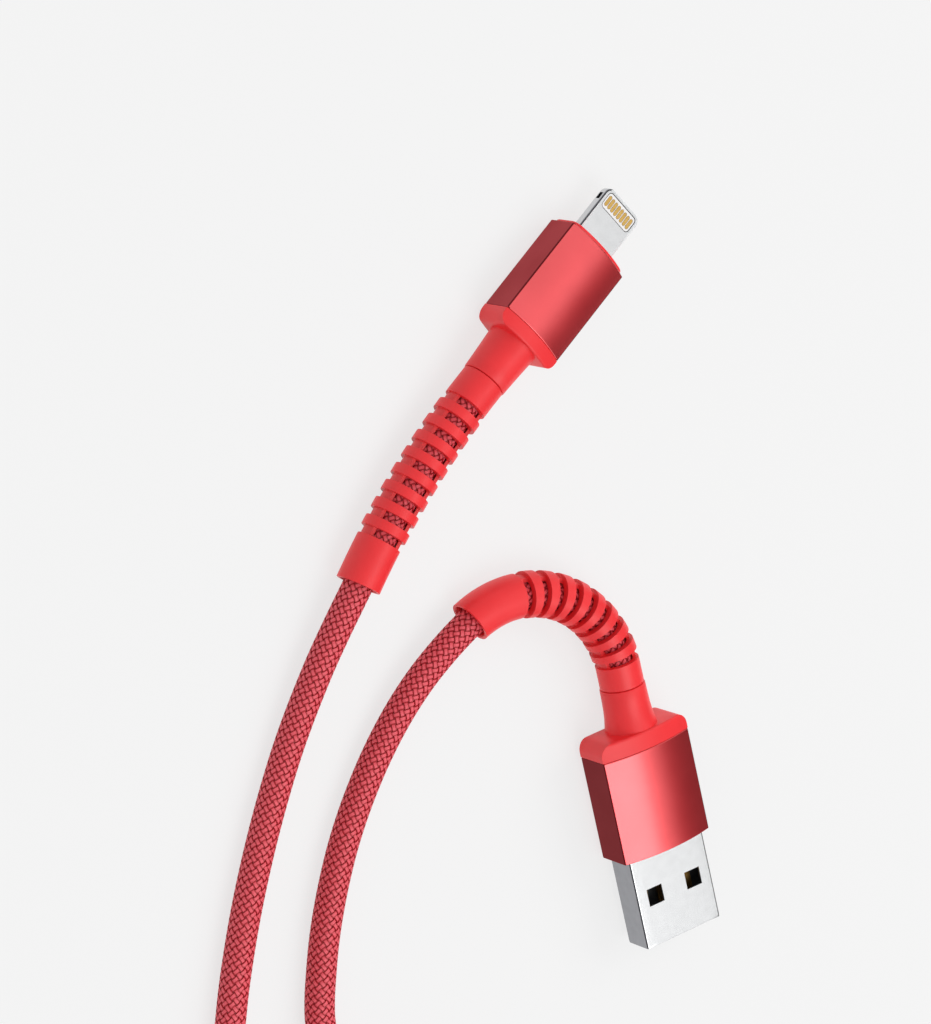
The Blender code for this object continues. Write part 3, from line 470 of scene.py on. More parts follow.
def woundBraid():
    """The same braid for the turns out of view, drawn in colour and bump on a round tube. The dark between its bars
    stands for the jacket, deepened with painted shade.
    """
    material, tree, shader = newMaterial("braidedNylonSleeve", Roughness=0.52, IOR=1.53)
    where = addNode(tree, "ShaderNodeUVMap", {"uv_map": "braid"})
    apart = addNode(tree, "ShaderNodeSeparateXYZ", {}, {0: where.outputs[0]})
    rows, turns = apart.outputs[0], apart.outputs[1]
    one = mathNode(tree, "SUBTRACT", turns, rows)
    other = mathNode(tree, "ADD", turns, rows)

    def bars(mine, theirs, shift):
        yarn = mathNode(tree, "ROUND", mine)
        start = mathNode(tree, "ADD", yarn, shift)
        pair = mathNode(tree, "ROUND", mathNode(tree, "MULTIPLY", mathNode(tree, "SUBTRACT", theirs, start), 0.5))
        crossing = mathNode(tree, "ADD", start, mathNode(tree, "MULTIPLY", pair, 2.0))
        inside = ramp(tree, gapNode(tree, mine, yarn), 1.0, 0.0, *braid["barWide"])
        within = ramp(tree, gapNode(tree, theirs, crossing), 1.0, 0.0, *braid["barLong"])
        return mathNode(tree, "MULTIPLY", inside, within)

    cover = mathNode(tree, "MAXIMUM", bars(one, other, 0.0), bars(other, one, 1.0))
    # dark between the bars: the jacket seen there, deepened with painted shade
    colour = blendColours(tree, cover, finish["woundGapShade"], finish["wound"])
    tree.links.new(colour, shader.inputs["Base Color"])
    bump(tree, shader, cover, depth=0.15, strength=0.8)
    return material


looks = {
    "anodised": anodisedAluminium("anodisedAluminium", "#EC3B42", "#E4333A", 0.86, 1.0),
    # darker copies for the sleeves' folds and flat sides: painted shade, a dark line on each fold, and deeper on the
    # host plug's side
    "anodisedFoldPaintedShade": anodisedAluminium("anodisedAluminiumFoldPaintedShade", "#6E181D", "#631419", 0.9, 0.0),
    "hostSide": anodisedAluminium("anodisedAluminiumHostSidePaintedShade", "#7E3A3D", "#763437", 1.0, 0.0, (1, 0.5, 0.5, 1)),
    "phoneSide": anodisedAluminium("anodisedAluminiumPhoneSidePaintedShade", "#A84C50", "#9F4549", 1.0, 0.0, (1, 0.5, 0.5, 1)),
    "soft": softElastomer("mouldedElastomer", "#FB3035", "#F42C31"),
    # a darker copy for the boots' slots and the rings' flanks: painted shade
    "softPaintedShade": softElastomer("mouldedElastomerPaintedShade", "#EE3035", "#E52C31"),
    "yarn": nylonYarn(),
    "jacket": cordJacket(),
    "wound": woundBraid(),
    "steel": platedMetal("nickelPlatedSteel", "#F2F3F4", "#ECEDEE", 0.24),
    # a grey copy for sides: painted shade
    "steelPaintedShade": platedMetal("nickelPlatedPaintedShade", "#A2A3A7", "#9B9CA0", 0.36),
    # a plain white copy for rims on the lit side: painted highlight
    "steelPaintedHighlight": plainPlastic("nickelPlatedPaintedHighlight", "#E9EBEC", 0.35),
    # a paler grey copy for flat sides that face left: painted shade
    "steelPaintedPaleShade": platedMetal("nickelPlatedPaintedPaleShade", "#D6D7D9", "#CFD0D2", 0.34),
    # a near-black copy: painted dark reflection along rolled edges, painted shade in scoops and on the window's
    # walls
    "steelPaintedDark": platedMetal("nickelPlatedPaintedDark", "#505154", "#4C4D50", 0.30),
    "gold": platedMetal("goldPlating", "#E8C072", "#DFB566", 0.30),
    # a darkened gold for the host contacts deep in the shell: painted shade
    "goldInPaintedShade": platedMetal("darkenedGoldPaintedShade", "#8C6C3A", "#7E5F31", 0.35),
    "brass": platedMetal("brassStrip", "#B79B58", "#A68A48", 0.35),
    "nylon": plainPlastic("mouldedWhiteNylon", "#FCFCFB", 0.45),
    "nylonBlack": plainPlastic("mouldedBlackNylon", "#161617", 0.40),
    "board": circuitBoard(),
    "epoxy": plainPlastic("mouldedEpoxy", "#1B1B1D", 0.55),
    "strap": hookAndLoop(),
}
wires = {"red": "#C4262A", "white": "#ECECEA", "green": "#2A8A46", "black": "#202022"}
for colour, code in wires.items():
    looks[f"{colour}Wire"] = plainPlastic(f"{colour}WireCovering", code, 0.35)


# meshes
def addPiece(name, mesh, look, body=None):
    piece = addObject(name, mesh)
    mesh.materials.append(looks[look])
    if body:
        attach(piece, body)
    return piece


def faceOut(shape):
    bmesh.ops.recalc_face_normals(shape, faces=shape.faces)


def editMesh(mesh, change):
    shape = bmesh.new()
    shape.from_mesh(mesh)
    change(shape)
    shape.to_mesh(mesh)
    shape.free()


def meshFrom(shape, name):
    mesh = bpy.data.meshes.new(name)
    shape.to_mesh(mesh)
    shape.free()
    return mesh


def loftMesh(name, loops, closed=True):
    """Skin through loops of equally many points, in metres."""
    shape = bmesh.new()
    rings = [[shape.verts.new(p) for p in loop] for loop in loops]
    count = len(loops[0])
    for ring, after in zip(rings, rings[1:] + rings[:1] if closed else rings[1:]):
        for i in range(count):
            j = (i + 1) % count
            shape.faces.new((ring[i], ring[j], after[j], after[i]))
    if not closed:
        shape.faces.new(rings[0])
        shape.faces.new(rings[-1])
    faceOut(shape)
    return meshFrom(shape, name)


def gridMesh(name, points, quads):
    mesh = bpy.data.meshes.new(name)
    mesh.vertices.add(len(points))
    mesh.vertices.foreach_set("co", np.asarray(points, np.float32).ravel())
    mesh.loops.add(quads.size)
    mesh.loops.foreach_set("vertex_index", quads.astype(np.int32).ravel())
    mesh.polygons.add(len(quads))
    mesh.polygons.foreach_set("loop_start", np.arange(0, quads.size, 4, dtype=np.int32))
    mesh.polygons.foreach_set("loop_total", np.full(len(quads), 4, np.int32))
    mesh.update(calc_edges=True)
    return mesh


def dressWhere(piece, look, test):
    """Gives the faces that pass the test, by their normal, a second finish."""
    piece.data.materials.append(looks[look])
    index = len(piece.data.materials) - 1
    for face in piece.data.polygons:
        if test(face.normal):
            face.material_index = index


def modify(piece, kind, **settings):
    """Adds one modifier and applies it."""
    step = piece.modifiers.new("step", kind)
    for key, value in settings.items():
        setattr(step, key, value)
    graph = bpy.context.evaluated_depsgraph_get()
    final = piece.evaluated_get(graph)
    made = bpy.data.meshes.new_from_object(final, preserve_all_data_layers=True, depsgraph=graph)
    piece.modifiers.clear()
    piece.data = made


def roundEdges(piece, width, segments, angle, harden=False):
    modify(
        piece, "BEVEL", width=width * mm, segments=segments, limit_method="ANGLE",
        angle_limit=math.radians(angle), harden_normals=harden,
    )


def softenEdges(piece, width, angle):
    """A small real round on every hard edge, with smooth shading that keeps the faces flat."""
    piece.data.shade_smooth()
    roundEdges(piece, width, 2, angle, True)


def keepFlat(piece):  # broad faces shade flat right up to their rounded edges
    modify(piece, "WEIGHTED_NORMAL", weight=100, keep_sharp=True)


def plugPoint(plug, x, y, z):  # from the plug's own axes, in millimetres
    c, s = math.cos(plug["heading"]), math.sin(plug["heading"])
    return plug["seam"] + Vector((x * c - y * s, x * s + y * c, z)) * mm


def across(plug, x, outline):
    return [plugPoint(plug, x, y, z) for y, z in outline]


def crownRadius(plug, inset):
    return (plug["halfWidth"] ** 2 + plug["crown"] ** 2) / (2 * plug["crown"]) - inset


def crownedOutline(plug, inset=0.0, halfWidth=None, under=1.0, sideSteps=6, faceSteps=36):
    """Flat sides, with a shallow arc above and one below that can be flatter."""
    radius = crownRadius(plug, inset)
    width = plug["halfWidth"] - inset if halfWidth is None else halfWidth
    top = plug["top"] - inset

    def face(y):
        return top - radius + math.sqrt(radius**2 - y**2)

    edge = face(width)
    bottomEdge = face(plug["halfWidth"] - inset)

    def floor(y):
        return -(bottomEdge + (face(y) - bottomEdge) * under)

    points = [(width, edge + (floor(width) - edge) * (1 - i / sideSteps)) for i in range(sideSteps)]
    points += [(y, face(y)) for y in (width - 2 * width * i / faceSteps for i in range(faceSteps))]
    points += [(-width, edge + (floor(width) - edge) * i / sideSteps) for i in range(sideSteps)]
    points += [(y, floor(y)) for y in (-width + 2 * width * i / faceSteps for i in range(faceSteps))]
    return points


def circleLike(outline, radius):
    """Circle points spread partly like the outline's own and partly evenly."""
    count, evenness = len(outline), 0.65
    bearings = np.unwrap([math.atan2(z, y) for y, z in outline])
    even = bearings[0] + 2 * math.pi * np.arange(count) / count
    mixed = (1 - evenness) * bearings + evenness * even
    return [(radius * math.cos(a), radius * math.sin(a)) for a in mixed]


# sleeves
print("sleeves")
sleeve = {
    "wall": 0.5,
    "edge": 0.15,
    "cuts": 7,
    "side": 0.3, "fold": 0.84,  # how far a face's normal leans upright, up to which it is side or fold; both take a darker copy, painted shade
    "endways": 0.5,  # a face that points further along the plug than this is its mouth
}


def makeSleeve(plug):
    outer = crownedOutline(plug)
    inner = crownedOutline(plug, sleeve["wall"])
    long = plug["sleeve"]
    loops = [across(plug, x, outer) for x in np.linspace(0, long, sleeve["cuts"])]
    loops += [across(plug, x, inner) for x in (long, 0)]
    piece = addPiece(f"{plug['name']}Sleeve", loftMesh("sleeve", loops), "anodised", plug["body"])
    softenEdges(piece, sleeve["edge"], 20)
    way = (plugPoint(plug, 1, 0, 0) - plug["seam"]).normalized()

    def folded(normal):
        return sleeve["side"] < abs(normal.z) < sleeve["fold"] and abs(normal.dot(way)) < sleeve["endways"]

    # the flat sides take a darker copy of the finish: painted shade
    dressWhere(piece, f"{plug['name']}Side", lambda normal: abs(normal.z) < sleeve["side"])
    # the rounded folds take a near-black copy: painted shade along each edge
    dressWhere(piece, "anodisedFoldPaintedShade", folded)
    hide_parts(f"{plug['name']}_sleeve")


for plug in (hostPlug, phonePlug):
    makeSleeve(plug)


# end caps with their necks
print("end caps")
cap = {
    "seamGap": 0.05,
    "spigot": 1.2,
    "fit": 0.05,
    "rim": 0.28,  # round at the back edge
    "steps": 10,
    "edge": 0.06,
    "lip": 0.06,
    "bore": 2.15,
    "pocket": 2.55,
    "pocketEnd": 1.8,
}
hostNeck = [  # millimetres from the cap, and radius
    (0.0, 3.50), (0.35, 3.44), (0.9, 3.34), (1.7, 3.22), (2.7, 3.13), (4.0, 3.08), (5.60, 3.05), (5.72, 3.00),
]
phoneNeck = [
    (0.0, 3.42), (0.4, 3.39), (1.0, 3.34), (1.9, 3.28), (3.0, 3.21), (4.4, 3.13), (5.95, 3.06), (6.07, 3.00),
]


def makeEndCap(plug, neck, flatUnder):
    spigot = crownedOutline(plug, sleeve["wall"] + cap["fit"])
    begins = ((cap["spigot"], spigot), (-cap["seamGap"], spigot), (-cap["seamGap"], crownedOutline(plug)))
    loops = [across(plug, x, outline) for x, outline in begins]
    corner, deep, rim = plug["corner"], plug["cap"], cap["rim"]
    for i in range(cap["steps"] + 1):
        a = i / cap["steps"] * math.pi / 2
        x = -(deep - corner) - corner * math.sin(a)
        width, under = plug["halfWidth"] - corner * (1 - math.cos(a)), 1 - (1 - flatUnder) * math.sin(a)
        outline = crownedOutline(plug, 0.0, width, under)
        past = max(0.0, -x - (deep - rim))  # pulled in towards the back face, as a round rim
        pull = rim - math.sqrt(max(rim**2 - past**2, 0.0))
        low = min(z for _, z in outline)
        high = max(z for _, z in outline)
        back = [(y, z * (1 - pull / (high if z > 0 else -low))) for y, z in outline]
        loops.append(across(plug, x, back))
    end, inside = -plug["neckEnd"], -cap["pocketEnd"]
    rings = [(-deep - along, radius) for along, radius in neck] + [(end, neck[-1][1] - cap["lip"])]
    rings += [(end, cap["bore"]), (inside, cap["bore"]), (inside, cap["pocket"])]
    loops += [across(plug, x, circleLike(back, radius)) for x, radius in rings]
    loops.append(across(plug, cap["spigot"], circleLike(spigot, cap["pocket"])))
    piece = addPiece(f"{plug['name']}EndCap", loftMesh("endCap", loops), "soft", plug["body"])
    softenEdges(piece, cap["edge"], 32)
    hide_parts(f"{plug['name']}_end_cap")


makeEndCap(hostPlug, hostNeck, 0.15)
makeEndCap(phonePlug, phoneNeck, 1.0)


# slotted boots
print("boots")


def bootStations(plug):
    stations, slotted = [boot["start"]], []
    head, tail = (plug["head"] - boot["start"], False, boot["headCuts"]), (plug["tail"], False, boot["tailCuts"])
    slot, ring = (plug["slot"], True, 1), (plug["ring"], False, boot["ringCuts"])
    for length, cut, steps in [head] + [slot, ring] * boot["rings"] + [slot, tail]:
        begin = stations[-1]
        for i in range(steps):
            stations.append(begin + length * (i + 1) / steps)
            slotted.append(cut)
    return stations, slotted


def bootBearings(radius):
    edge = math.acos(boot["slotFloor"] / radius)
    opening = [edge * (2 * i / boot["openingSteps"] - 1) for i in range(boot["openingSteps"])]
    web = [edge + (math.pi - 2 * edge) * i / boot["webSteps"] for i in range(boot["webSteps"])]
    return opening + web + [a + math.pi for a in opening + web]


def makeBoot(plug):
    """Cells along, round and outward; a face stands wherever a filled cell meets an empty one."""
    stations, slotted = bootStations(plug)
    radii = (boot["bore"], boot["webRadius"], boot["radius"])
    bearings = [bootBearings(r) for r in radii]
    count = len(bearings[0])
    half = boot["openingSteps"] + boot["webSteps"]

    def filled(i, j, k):
        if not 0 <= i < len(slotted) or not 0 <= k < 2:
            return False
        return not slotted[i] or (k == 0 and (j % count) % half >= boot["openingSteps"])

    firstSlot, lastSlot = slotted.index(True), len(slotted) - slotted[::-1].index(True)

    def ringed(i):
        return firstSlot < i < lastSlot

    shape = bmesh.new()
    corners = {}

    def corner(i, j, k):
        j %= count
        if (i, j, k) not in corners:
            spot, way = bootPoint(plug, stations[i])
            a, radius = bearings[k][j], radii[k]
            if k == 2 and ringed(i):
                radius = boot["ringRadius"]
            if k == 0 and i == len(slotted):
                radius = boot["mouth"]
            out = radius * math.sin(a)
            point = (spot[0] - out * math.sin(way), spot[1] + out * math.cos(way), spot[2] + radius * math.cos(a))
            corners[i, j, k] = shape.verts.new([v * mm for v in point])
        return corners[i, j, k]

    sides = (
        ((-1, 0, 0), ((0, 0, 0), (0, 1, 0), (0, 1, 1), (0, 0, 1))),
        ((1, 0, 0), ((1, 0, 0), (1, 0, 1), (1, 1, 1), (1, 1, 0))),
        ((0, -1, 0), ((0, 0, 0), (0, 0, 1), (1, 0, 1), (1, 0, 0))),
        ((0, 1, 0), ((0, 1, 0), (1, 1, 0), (1, 1, 1), (0, 1, 1))),
        ((0, 0, -1), ((0, 0, 0), (1, 0, 0), (1, 1, 0), (0, 1, 0))),
        ((0, 0, 1), ((0, 0, 1), (0, 1, 1), (1, 1, 1), (1, 0, 1))),
    )
    for i in range(len(slotted)):
        for j in range(count):
            for k in range(2):
                if not filled(i, j, k):
                    continue
                for (a, b, c), face in sides:
                    if not filled(i + a, j + b, k + c):
                        made = shape.faces.new([corner(i + p, j + q, k + r) for p, q, r in face])
                        # faces in the slots and on the rings' flanks take the darker copy: painted shade between the
                        # rings
                        made.material_index = 1 if slotted[i] or (a and ringed(i + max(a, 0))) else 0
    faceOut(shape)
    piece = addPiece(f"{plug['name']}Boot", meshFrom(shape, "boot"), "soft", None)
    piece.data.materials.append(looks["softPaintedShade"])
    softenEdges(piece, boot["edge"], 35)
    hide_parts(f"{plug['name']}_boot")
    flexAcross(piece, plug)


def flexAcross(piece, plug):
    """Bakes the piece's place into its mesh; the spots at the boot's head and tail are found but not used."""
    tailSide = bootPoint(plug, bootLength(plug) - plug["tail"])[0] * mm
    headSide = bootPoint(plug, plug["head"])[0] * mm
    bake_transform(piece)


for plug in (hostPlug, phonePlug):
    makeBoot(plug)


# cord: jacket, braid where it is seen close, and a plainer braided sleeve on the coil
print("cord")


def framesAlong(line):
    """Two steady directions across the line at each point."""
    tangent = np.gradient(line, axis=0)
    tangent /= np.linalg.norm(tangent, axis=1)[:, None]
    side = np.empty_like(tangent)
    first = np.cross([0, 0, 1.0], tangent[0])
    side[0] = first / np.linalg.norm(first)
    for i in range(1, len(line)):
        s = side[i - 1] - tangent[i] * (side[i - 1] @ tangent[i])
        side[i] = s / np.linalg.norm(s)
    return side, np.cross(tangent, side)


def tubeMesh(name, line, radius, around, uvRows=None, offset=0.0):
    """A closed round tube along the line, with the braid's own coordinates when asked for."""
    side, up = framesAlong(line)
    angles = 2 * math.pi * np.arange(around) / around
    ring = radius * (np.cos(angles)[None, :, None] * side[:, None] + np.sin(angles)[None, :, None] * up[:, None])
    points = (line[:, None] + ring).reshape(-1, 3) * mm
    i, j = np.meshgrid(np.arange(len(line) - 1), np.arange(around), indexing="ij")
    k = (j + 1) % around
    quads = np.stack([i * around + j, i * around + k, (i + 1) * around + k, (i + 1) * around + j], -1).reshape(-1, 4)
    mesh = gridMesh(name, points, quads)
    if uvRows:
        rows = (offset + lengthAlong(line)) / uvRows
        turn = np.stack([j, j + 1, j + 1, j], -1).reshape(-1, 4) * braid["carriers"] / around
        step = np.stack([rows[i], rows[i], rows[i + 1], rows[i + 1]], -1).reshape(-1, 4)
        layer = mesh.uv_layers.new(name="braid")
        layer.data.foreach_set("uv", np.stack([step, turn], -1).astype(np.float32).ravel())
    mesh.shade_smooth()
    capTube(mesh, len(points), around)
    return mesh


def capTube(mesh, total, around):
    def close(shape):
        shape.verts.ensure_lookup_table()
        for ring in (reversed(range(around)), range(total - around, total)):
            shape.faces.new([shape.verts[k] for k in ring])

    editMesh(mesh, close)


def braidMesh(name, line, offset=0.0):
    """Yarns that wind both ways round and pass over and under each other in turn."""
    rowStep = braid["row"] / braid["rowCuts"]
    carriers = braid["carriers"]
    along = offset + lengthAlong(line)
    first = math.ceil(offset / rowStep) + 1.5  # clear of both ends
    marks = (np.arange(0, int((along[-1] - offset) / rowStep) - 3) + first) * rowStep
    rows = marks / braid["row"]
    side, up = framesAlong(line)
    middleRadius = braid["outer"] - braid["middle"]
    lie = math.atan2(2 * math.pi * middleRadius, carriers * braid["row"])  # the yarns' angle to the cord
    halfTurn = braid["width"] / 2 / math.cos(lie) / middleRadius
    profile = ((-1.0, -0.5), (-0.82, 0.5), (0.82, 0.5), (1.0, -0.5))
    highest = braid["outer"] - braid["thick"] / 2
    points, quads, uvs = [], [], []
    n = len(marks)
    i, j = np.meshgrid(np.arange(n - 1), np.arange(4), indexing="ij")
    k = (j + 1) % 4
    u = np.array([sidewise for sidewise, _ in profile])[np.stack([j, j, k, k], -1)]
    for way in (1, -1):
        wave = np.clip(braid["flank"] * np.cos(2 * math.pi * rows), -1, 1) * way
        radius = highest - braid["dip"] * (1 - wave) / 2
        edges = []
        for sidewise, lift in profile:
            # each cut across a yarn runs along the yarns that cross it
            here = marks - way * sidewise * halfTurn * carriers / (4 * math.pi) * braid["row"]
            centre, aside, over = (
                np.column_stack([np.interp(here, along, values[:, axis]) for axis in range(3)])
                for values in (line, side, up)
            )
            turn = way * here / braid["row"] * 2 * math.pi / carriers + sidewise * halfTurn
            edges.append((turn, (radius + lift * braid["thick"])[:, None], centre, aside, over))
        v = np.stack([rows[i], rows[i + 1], rows[i + 1], rows[i]], -1) + (0 if way > 0 else 0.5)
        uv = np.stack([u, v], -1).reshape(-1, 4, 2)
        for yarn in range(carriers):
            start = len(points) * n
            for turn, r, centre, aside, over in edges:
                a = (turn + 2 * math.pi * yarn / carriers)[:, None]
                points.append(centre + r * (np.cos(a) * aside + np.sin(a) * over))
            order = (start + j * n + i, start + j * n + i + 1, start + k * n + i + 1, start + k * n + i)
            quads.append(np.stack(order if way > 0 else order[::-1], -1).reshape(-1, 4))
            uvs.append(uv if way > 0 else uv[:, ::-1])
    mesh = gridMesh(name, np.vstack(points) * mm, np.vstack(quads))
    layer = mesh.uv_layers.new(name="yarn")
    layer.data.foreach_set("uv", np.vstack(uvs).astype(np.float32).ravel())

    def close(shape):
        bmesh.ops.holes_fill(shape, edges=shape.edges, sides=4)
        faceOut(shape)

    editMesh(mesh, close)
    mesh.shade_smooth()
    mesh.set_sharp_from_angle(angle=math.radians(40))
    return mesh


def makeLead(plug):
    """The cord inside the boot, along the boot's bend."""
    long = bootLength(plug)
    line = [bootPoint(plug, s)[0] for s in np.linspace(0, long - cord["overlap"], 60)]
    seam = plug["seam"] / mm
    back = np.array([math.cos(plug["heading"]), math.sin(plug["heading"]), 0.0])
    first = np.array(seam) - back * cord["leadStart"]
    line = evenly(np.vstack([first, np.array(seam) - back * plug["neckEnd"] / 2, line]), cord["spacing"])
    name = plug["name"]
    jacket = addPiece(f"{name}Lead", tubeMesh("lead", line, braid["jacket"], 24), "jacket", None)
    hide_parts(f"{name}_cord_lead")
    yarns = addPiece(f"{name}LeadBraid", braidMesh("leadBraid", line), "yarn", None)
    for piece in (jacket, yarns):
        flexAcross(piece, plug)


for plug in (hostPlug, phonePlug):
    makeLead(plug)


def makeCord(line):
    """One jacket from boot to boot, with yarns on both seen stretches and a sleeve on the coil."""
    along = lengthAlong(line)
    away = (line[:, :2] - np.array(cord["coilCentre"])) @ np.array(cord["away"])
    hidden = np.flatnonzero(away > cord["hiddenFrom"])
    firstEnd, lastStart = hidden[0], hidden[-1]
    jacket = addPiece("cordJacket", tubeMesh("cordJacket", line, braid["jacket"], 20), "jacket", "cord")
    for name, part, begin in (
        ("cordBraidPhone", line[: firstEnd + 1], 0.0), ("cordBraidHost", line[lastStart:], along[lastStart]),
    ):
        addPiece(name, braidMesh(name, part, begin), "yarn", "cord")
    coilStart = firstEnd - cord["woundOverlap"]
    wound = line[coilStart : lastStart + cord["woundOverlap"] + 1][::2]
    radius = braid["outer"] - cord["woundUnder"]
    mesh = tubeMesh("cordBraidCoil", wound, radius, 24, braid["row"], along[coilStart])
    addPiece("cordBraidCoil", mesh, "wound", "cord")
    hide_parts("cord_run_phone", "cord_run_host", "cord_coil")
    tail = bootPoint(phonePlug, bootLength(phonePlug))[0] * mm


makeCord(route)


# strap round the coil
print("coil tie")
tie = {
    "wide": 8.0, "thick": 0.78, "gap": 0.08, "edge": 0.15, "around": 72, "steps": 8,
    "lap": slice(12, 30),  # of the steps around, where its end lies on top
    "lapGap": 0.05, "lapNarrower": 0.6, "lapEdge": 0.12,
}


def makeTie(c):
    """Pulled tight round the five turns where they cross it, with its end lapped on top."""
    low = cord["diameter"] / 2 + cord["tieLift"]
    high = low + cord["layer"]
    outer, middle, inner = cord["columns"]
    turns = np.array([(outer, low), (middle, low), (inner, low), (middle, high), (inner, high)])
    around = np.linspace(0, 2 * math.pi, c["around"], endpoint=False)
    ways = np.column_stack([np.cos(around), np.sin(around)])
    reach = (ways @ turns.T).max(1) + cord["diameter"] / 2 + c["gap"]  # how far the bundle reaches each way

    def skin(extra):
        support = reach + extra
        slope = (np.roll(support, -1) - np.roll(support, 1)) / (2 * (around[1] - around[0]))
        return ways * support[:, None] + np.column_stack([-ways[:, 1], ways[:, 0]]) * slope[:, None]

    def swept(section, wide):
        loops = []
        for i in range(c["steps"] + 1):
            turn = (i / c["steps"] - 0.5) * wide / middle
            u, v = section[:, 0] * math.cos(turn), section[:, 0] * math.sin(turn)
            loops.append(coilToTable(list(zip(u, v, section[:, 1])), cord) * mm)
        return loops

    skins = swept(skin(c["thick"]), c["wide"]) + swept(skin(0.0), c["wide"])[::-1]
    strap = addPiece("coilStrap", loftMesh("coilStrap", skins), "strap", "cord")
    softenEdges(strap, c["edge"], 50)
    below, above = skin(c["thick"] + c["lapGap"])[c["lap"]], skin(2 * c["thick"])[c["lap"]]
    lap = loftMesh("coilStrapEnd", swept(np.vstack([above, below[::-1]]), c["wide"] - c["lapNarrower"]), False)
    softenEdges(addPiece("coilStrapEnd", lap, "strap", "cord"), c["lapEdge"], 50)
    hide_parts("coil_tie")


makeTie(tie)


# host plug's steel shell
print("host shell")
shell = {
    "wide": 12.0, "high": 4.5, "wall": 0.3, "corner": 0.26, "rear": 8.4, "front": 26.9,
    "window": 2.4, "windowMiddle": 20.2, "windowSide": 3.1, "edge": 0.05,
    "pinch": 0.03, "pinchLength": 0.35,  # its front edge is coined inwards a little
    "cornerSteps": 5, "between": (16.5, 23.5),  # more cuts across it
    "side": 0.30, "roll": 0.93,  # how far a face's normal leans upright, up to which it is side or roll; sides take painted shade, rolls a painted dark reflection
}


def makeHostShell(plug, c):
    """Folded steel sheet, with a grid that leaves the four windows out."""
    halfW, halfH, r = c["wide"] / 2, c["high"] / 2, c["corner"]
    cuts = sorted({s * (c["windowSide"] + e * c["window"] / 2) for s in (-1, 1) for e in (-1, 1)})
    flat = sorted(set(cuts) | {-(halfW - r), halfW - r, 0.0})
    turn = [i / c["cornerSteps"] * math.pi / 2 for i in range(1, c["cornerSteps"])]
    half = [(y, halfH) for y in flat[::-1]]
    half += [(-(halfW - r) - r * math.sin(a), halfH - r + r * math.cos(a)) for a in turn]
    half += [(-halfW, z) for z in (halfH - r, 0.0, -(halfH - r))]
    half += [(-(halfW - r) - r * math.cos(a), -(halfH - r) - r * math.sin(a)) for a in turn]
    outline = half + [(-y, -z) for y, z in half]
    near, far = c["windowMiddle"] - c["window"] / 2, c["windowMiddle"] + c["window"] / 2
    behind, before = c["between"]
    stations = [c["rear"], plug["sleeve"], behind, near, far, before, c["front"] - c["pinchLength"], c["front"]]
    shape = bmesh.new()
    rings = []
    for x in stations:
        squeeze = c["pinch"] if x == c["front"] else 0.0
        pinched = [(y * (1 - squeeze / halfW), z * (1 - squeeze / halfH)) for y, z in outline]
        rings.append([shape.verts.new(point) for point in across(plug, x, pinched)])
    count = len(outline)
    for i in range(len(stations) - 1):
        for j in range(count):
            k = (j + 1) % count
            middle = (outline[j][0] + outline[k][0]) / 2
            onFace = abs(outline[j][1]) == halfH and abs(outline[k][1]) == halfH
            inWindow = abs(abs(middle) - c["windowSide"]) < c["window"] / 2
            if onFace and inWindow and stations[i] == near:
                continue
            shape.faces.new((rings[i][j], rings[i][k], rings[i + 1][k], rings[i + 1][j]))
    faceOut(shape)
    piece = addPiece("hostSteelShell", meshFrom(shape, "hostShell"), "steel", plug["body"])
    modify(piece, "SOLIDIFY", thickness=c["wall"] * mm, offset=-1, use_even_offset=True)
    editMesh(piece.data, faceOut)
    softenEdges(piece, c["edge"], 40)
    keepFlat(piece)
    # the sides take a grey copy of the plating, painted shade, and the rolled corners a near-black one, a painted
    # dark reflection
    dressWhere(piece, "steelPaintedShade", lambda normal: abs(normal.z) < c["side"])
    dressWhere(piece, "steelPaintedDark", lambda normal: c["side"] < abs(normal.z) < c["roll"])
    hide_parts("host_plug_shell")


makeHostShell(hostPlug, shell)


# phone plug's tongue and front trim
print("phone tongue")
tongue = {
    "half": 3.35, "thick": 1.5, "tip": 22.05, "root": 12.6, "corner": 1.05, "edge": 0.33,
    "notch": 1.7, "notchRadius": 0.6, "notchDepth": 0.3, "notchHalf": 0.36,
    "windowFront": 21.58, "windowLength": 2.35, "windowHalf": 2.80, "windowCorner": 0.55,
    "near": 0.02,
    # which copy of the plating a face takes, with painted light or shade by its facing: how far its normal leans
    # upright, and how far to the plug's left
    "wall": 0.3, "roll": (0.5, 0.97), "side": (0.2, 0.97), "rim": (0.2, 0.99), "leans": 0.24, "faces": 0.5,
}
trim = {
    "front": 14.7, "depth": 1.8, "corner": 1.2, "round": 0.20, "flange": 0.28, "slotHalf": 3.40, "slotHigh": 0.80,
    "mouthGap": 0.03,
}


def solidFrom(name, plug, outline, low, high):
    loops = [[plugPoint(plug, x, y, z) for x, y in outline] for z in (low, high)]
    return loftMesh(name, loops, closed=False)


def cutAway(piece, plug, outline, low, high):
    """Takes a straight-sided hole or notch out of a piece."""
    cutter = addObject("cutter", solidFrom("cutter", plug, outline, low, high))
    modify(piece, "BOOLEAN", object=cutter, solver="EXACT")
    bpy.data.objects.remove(cutter)


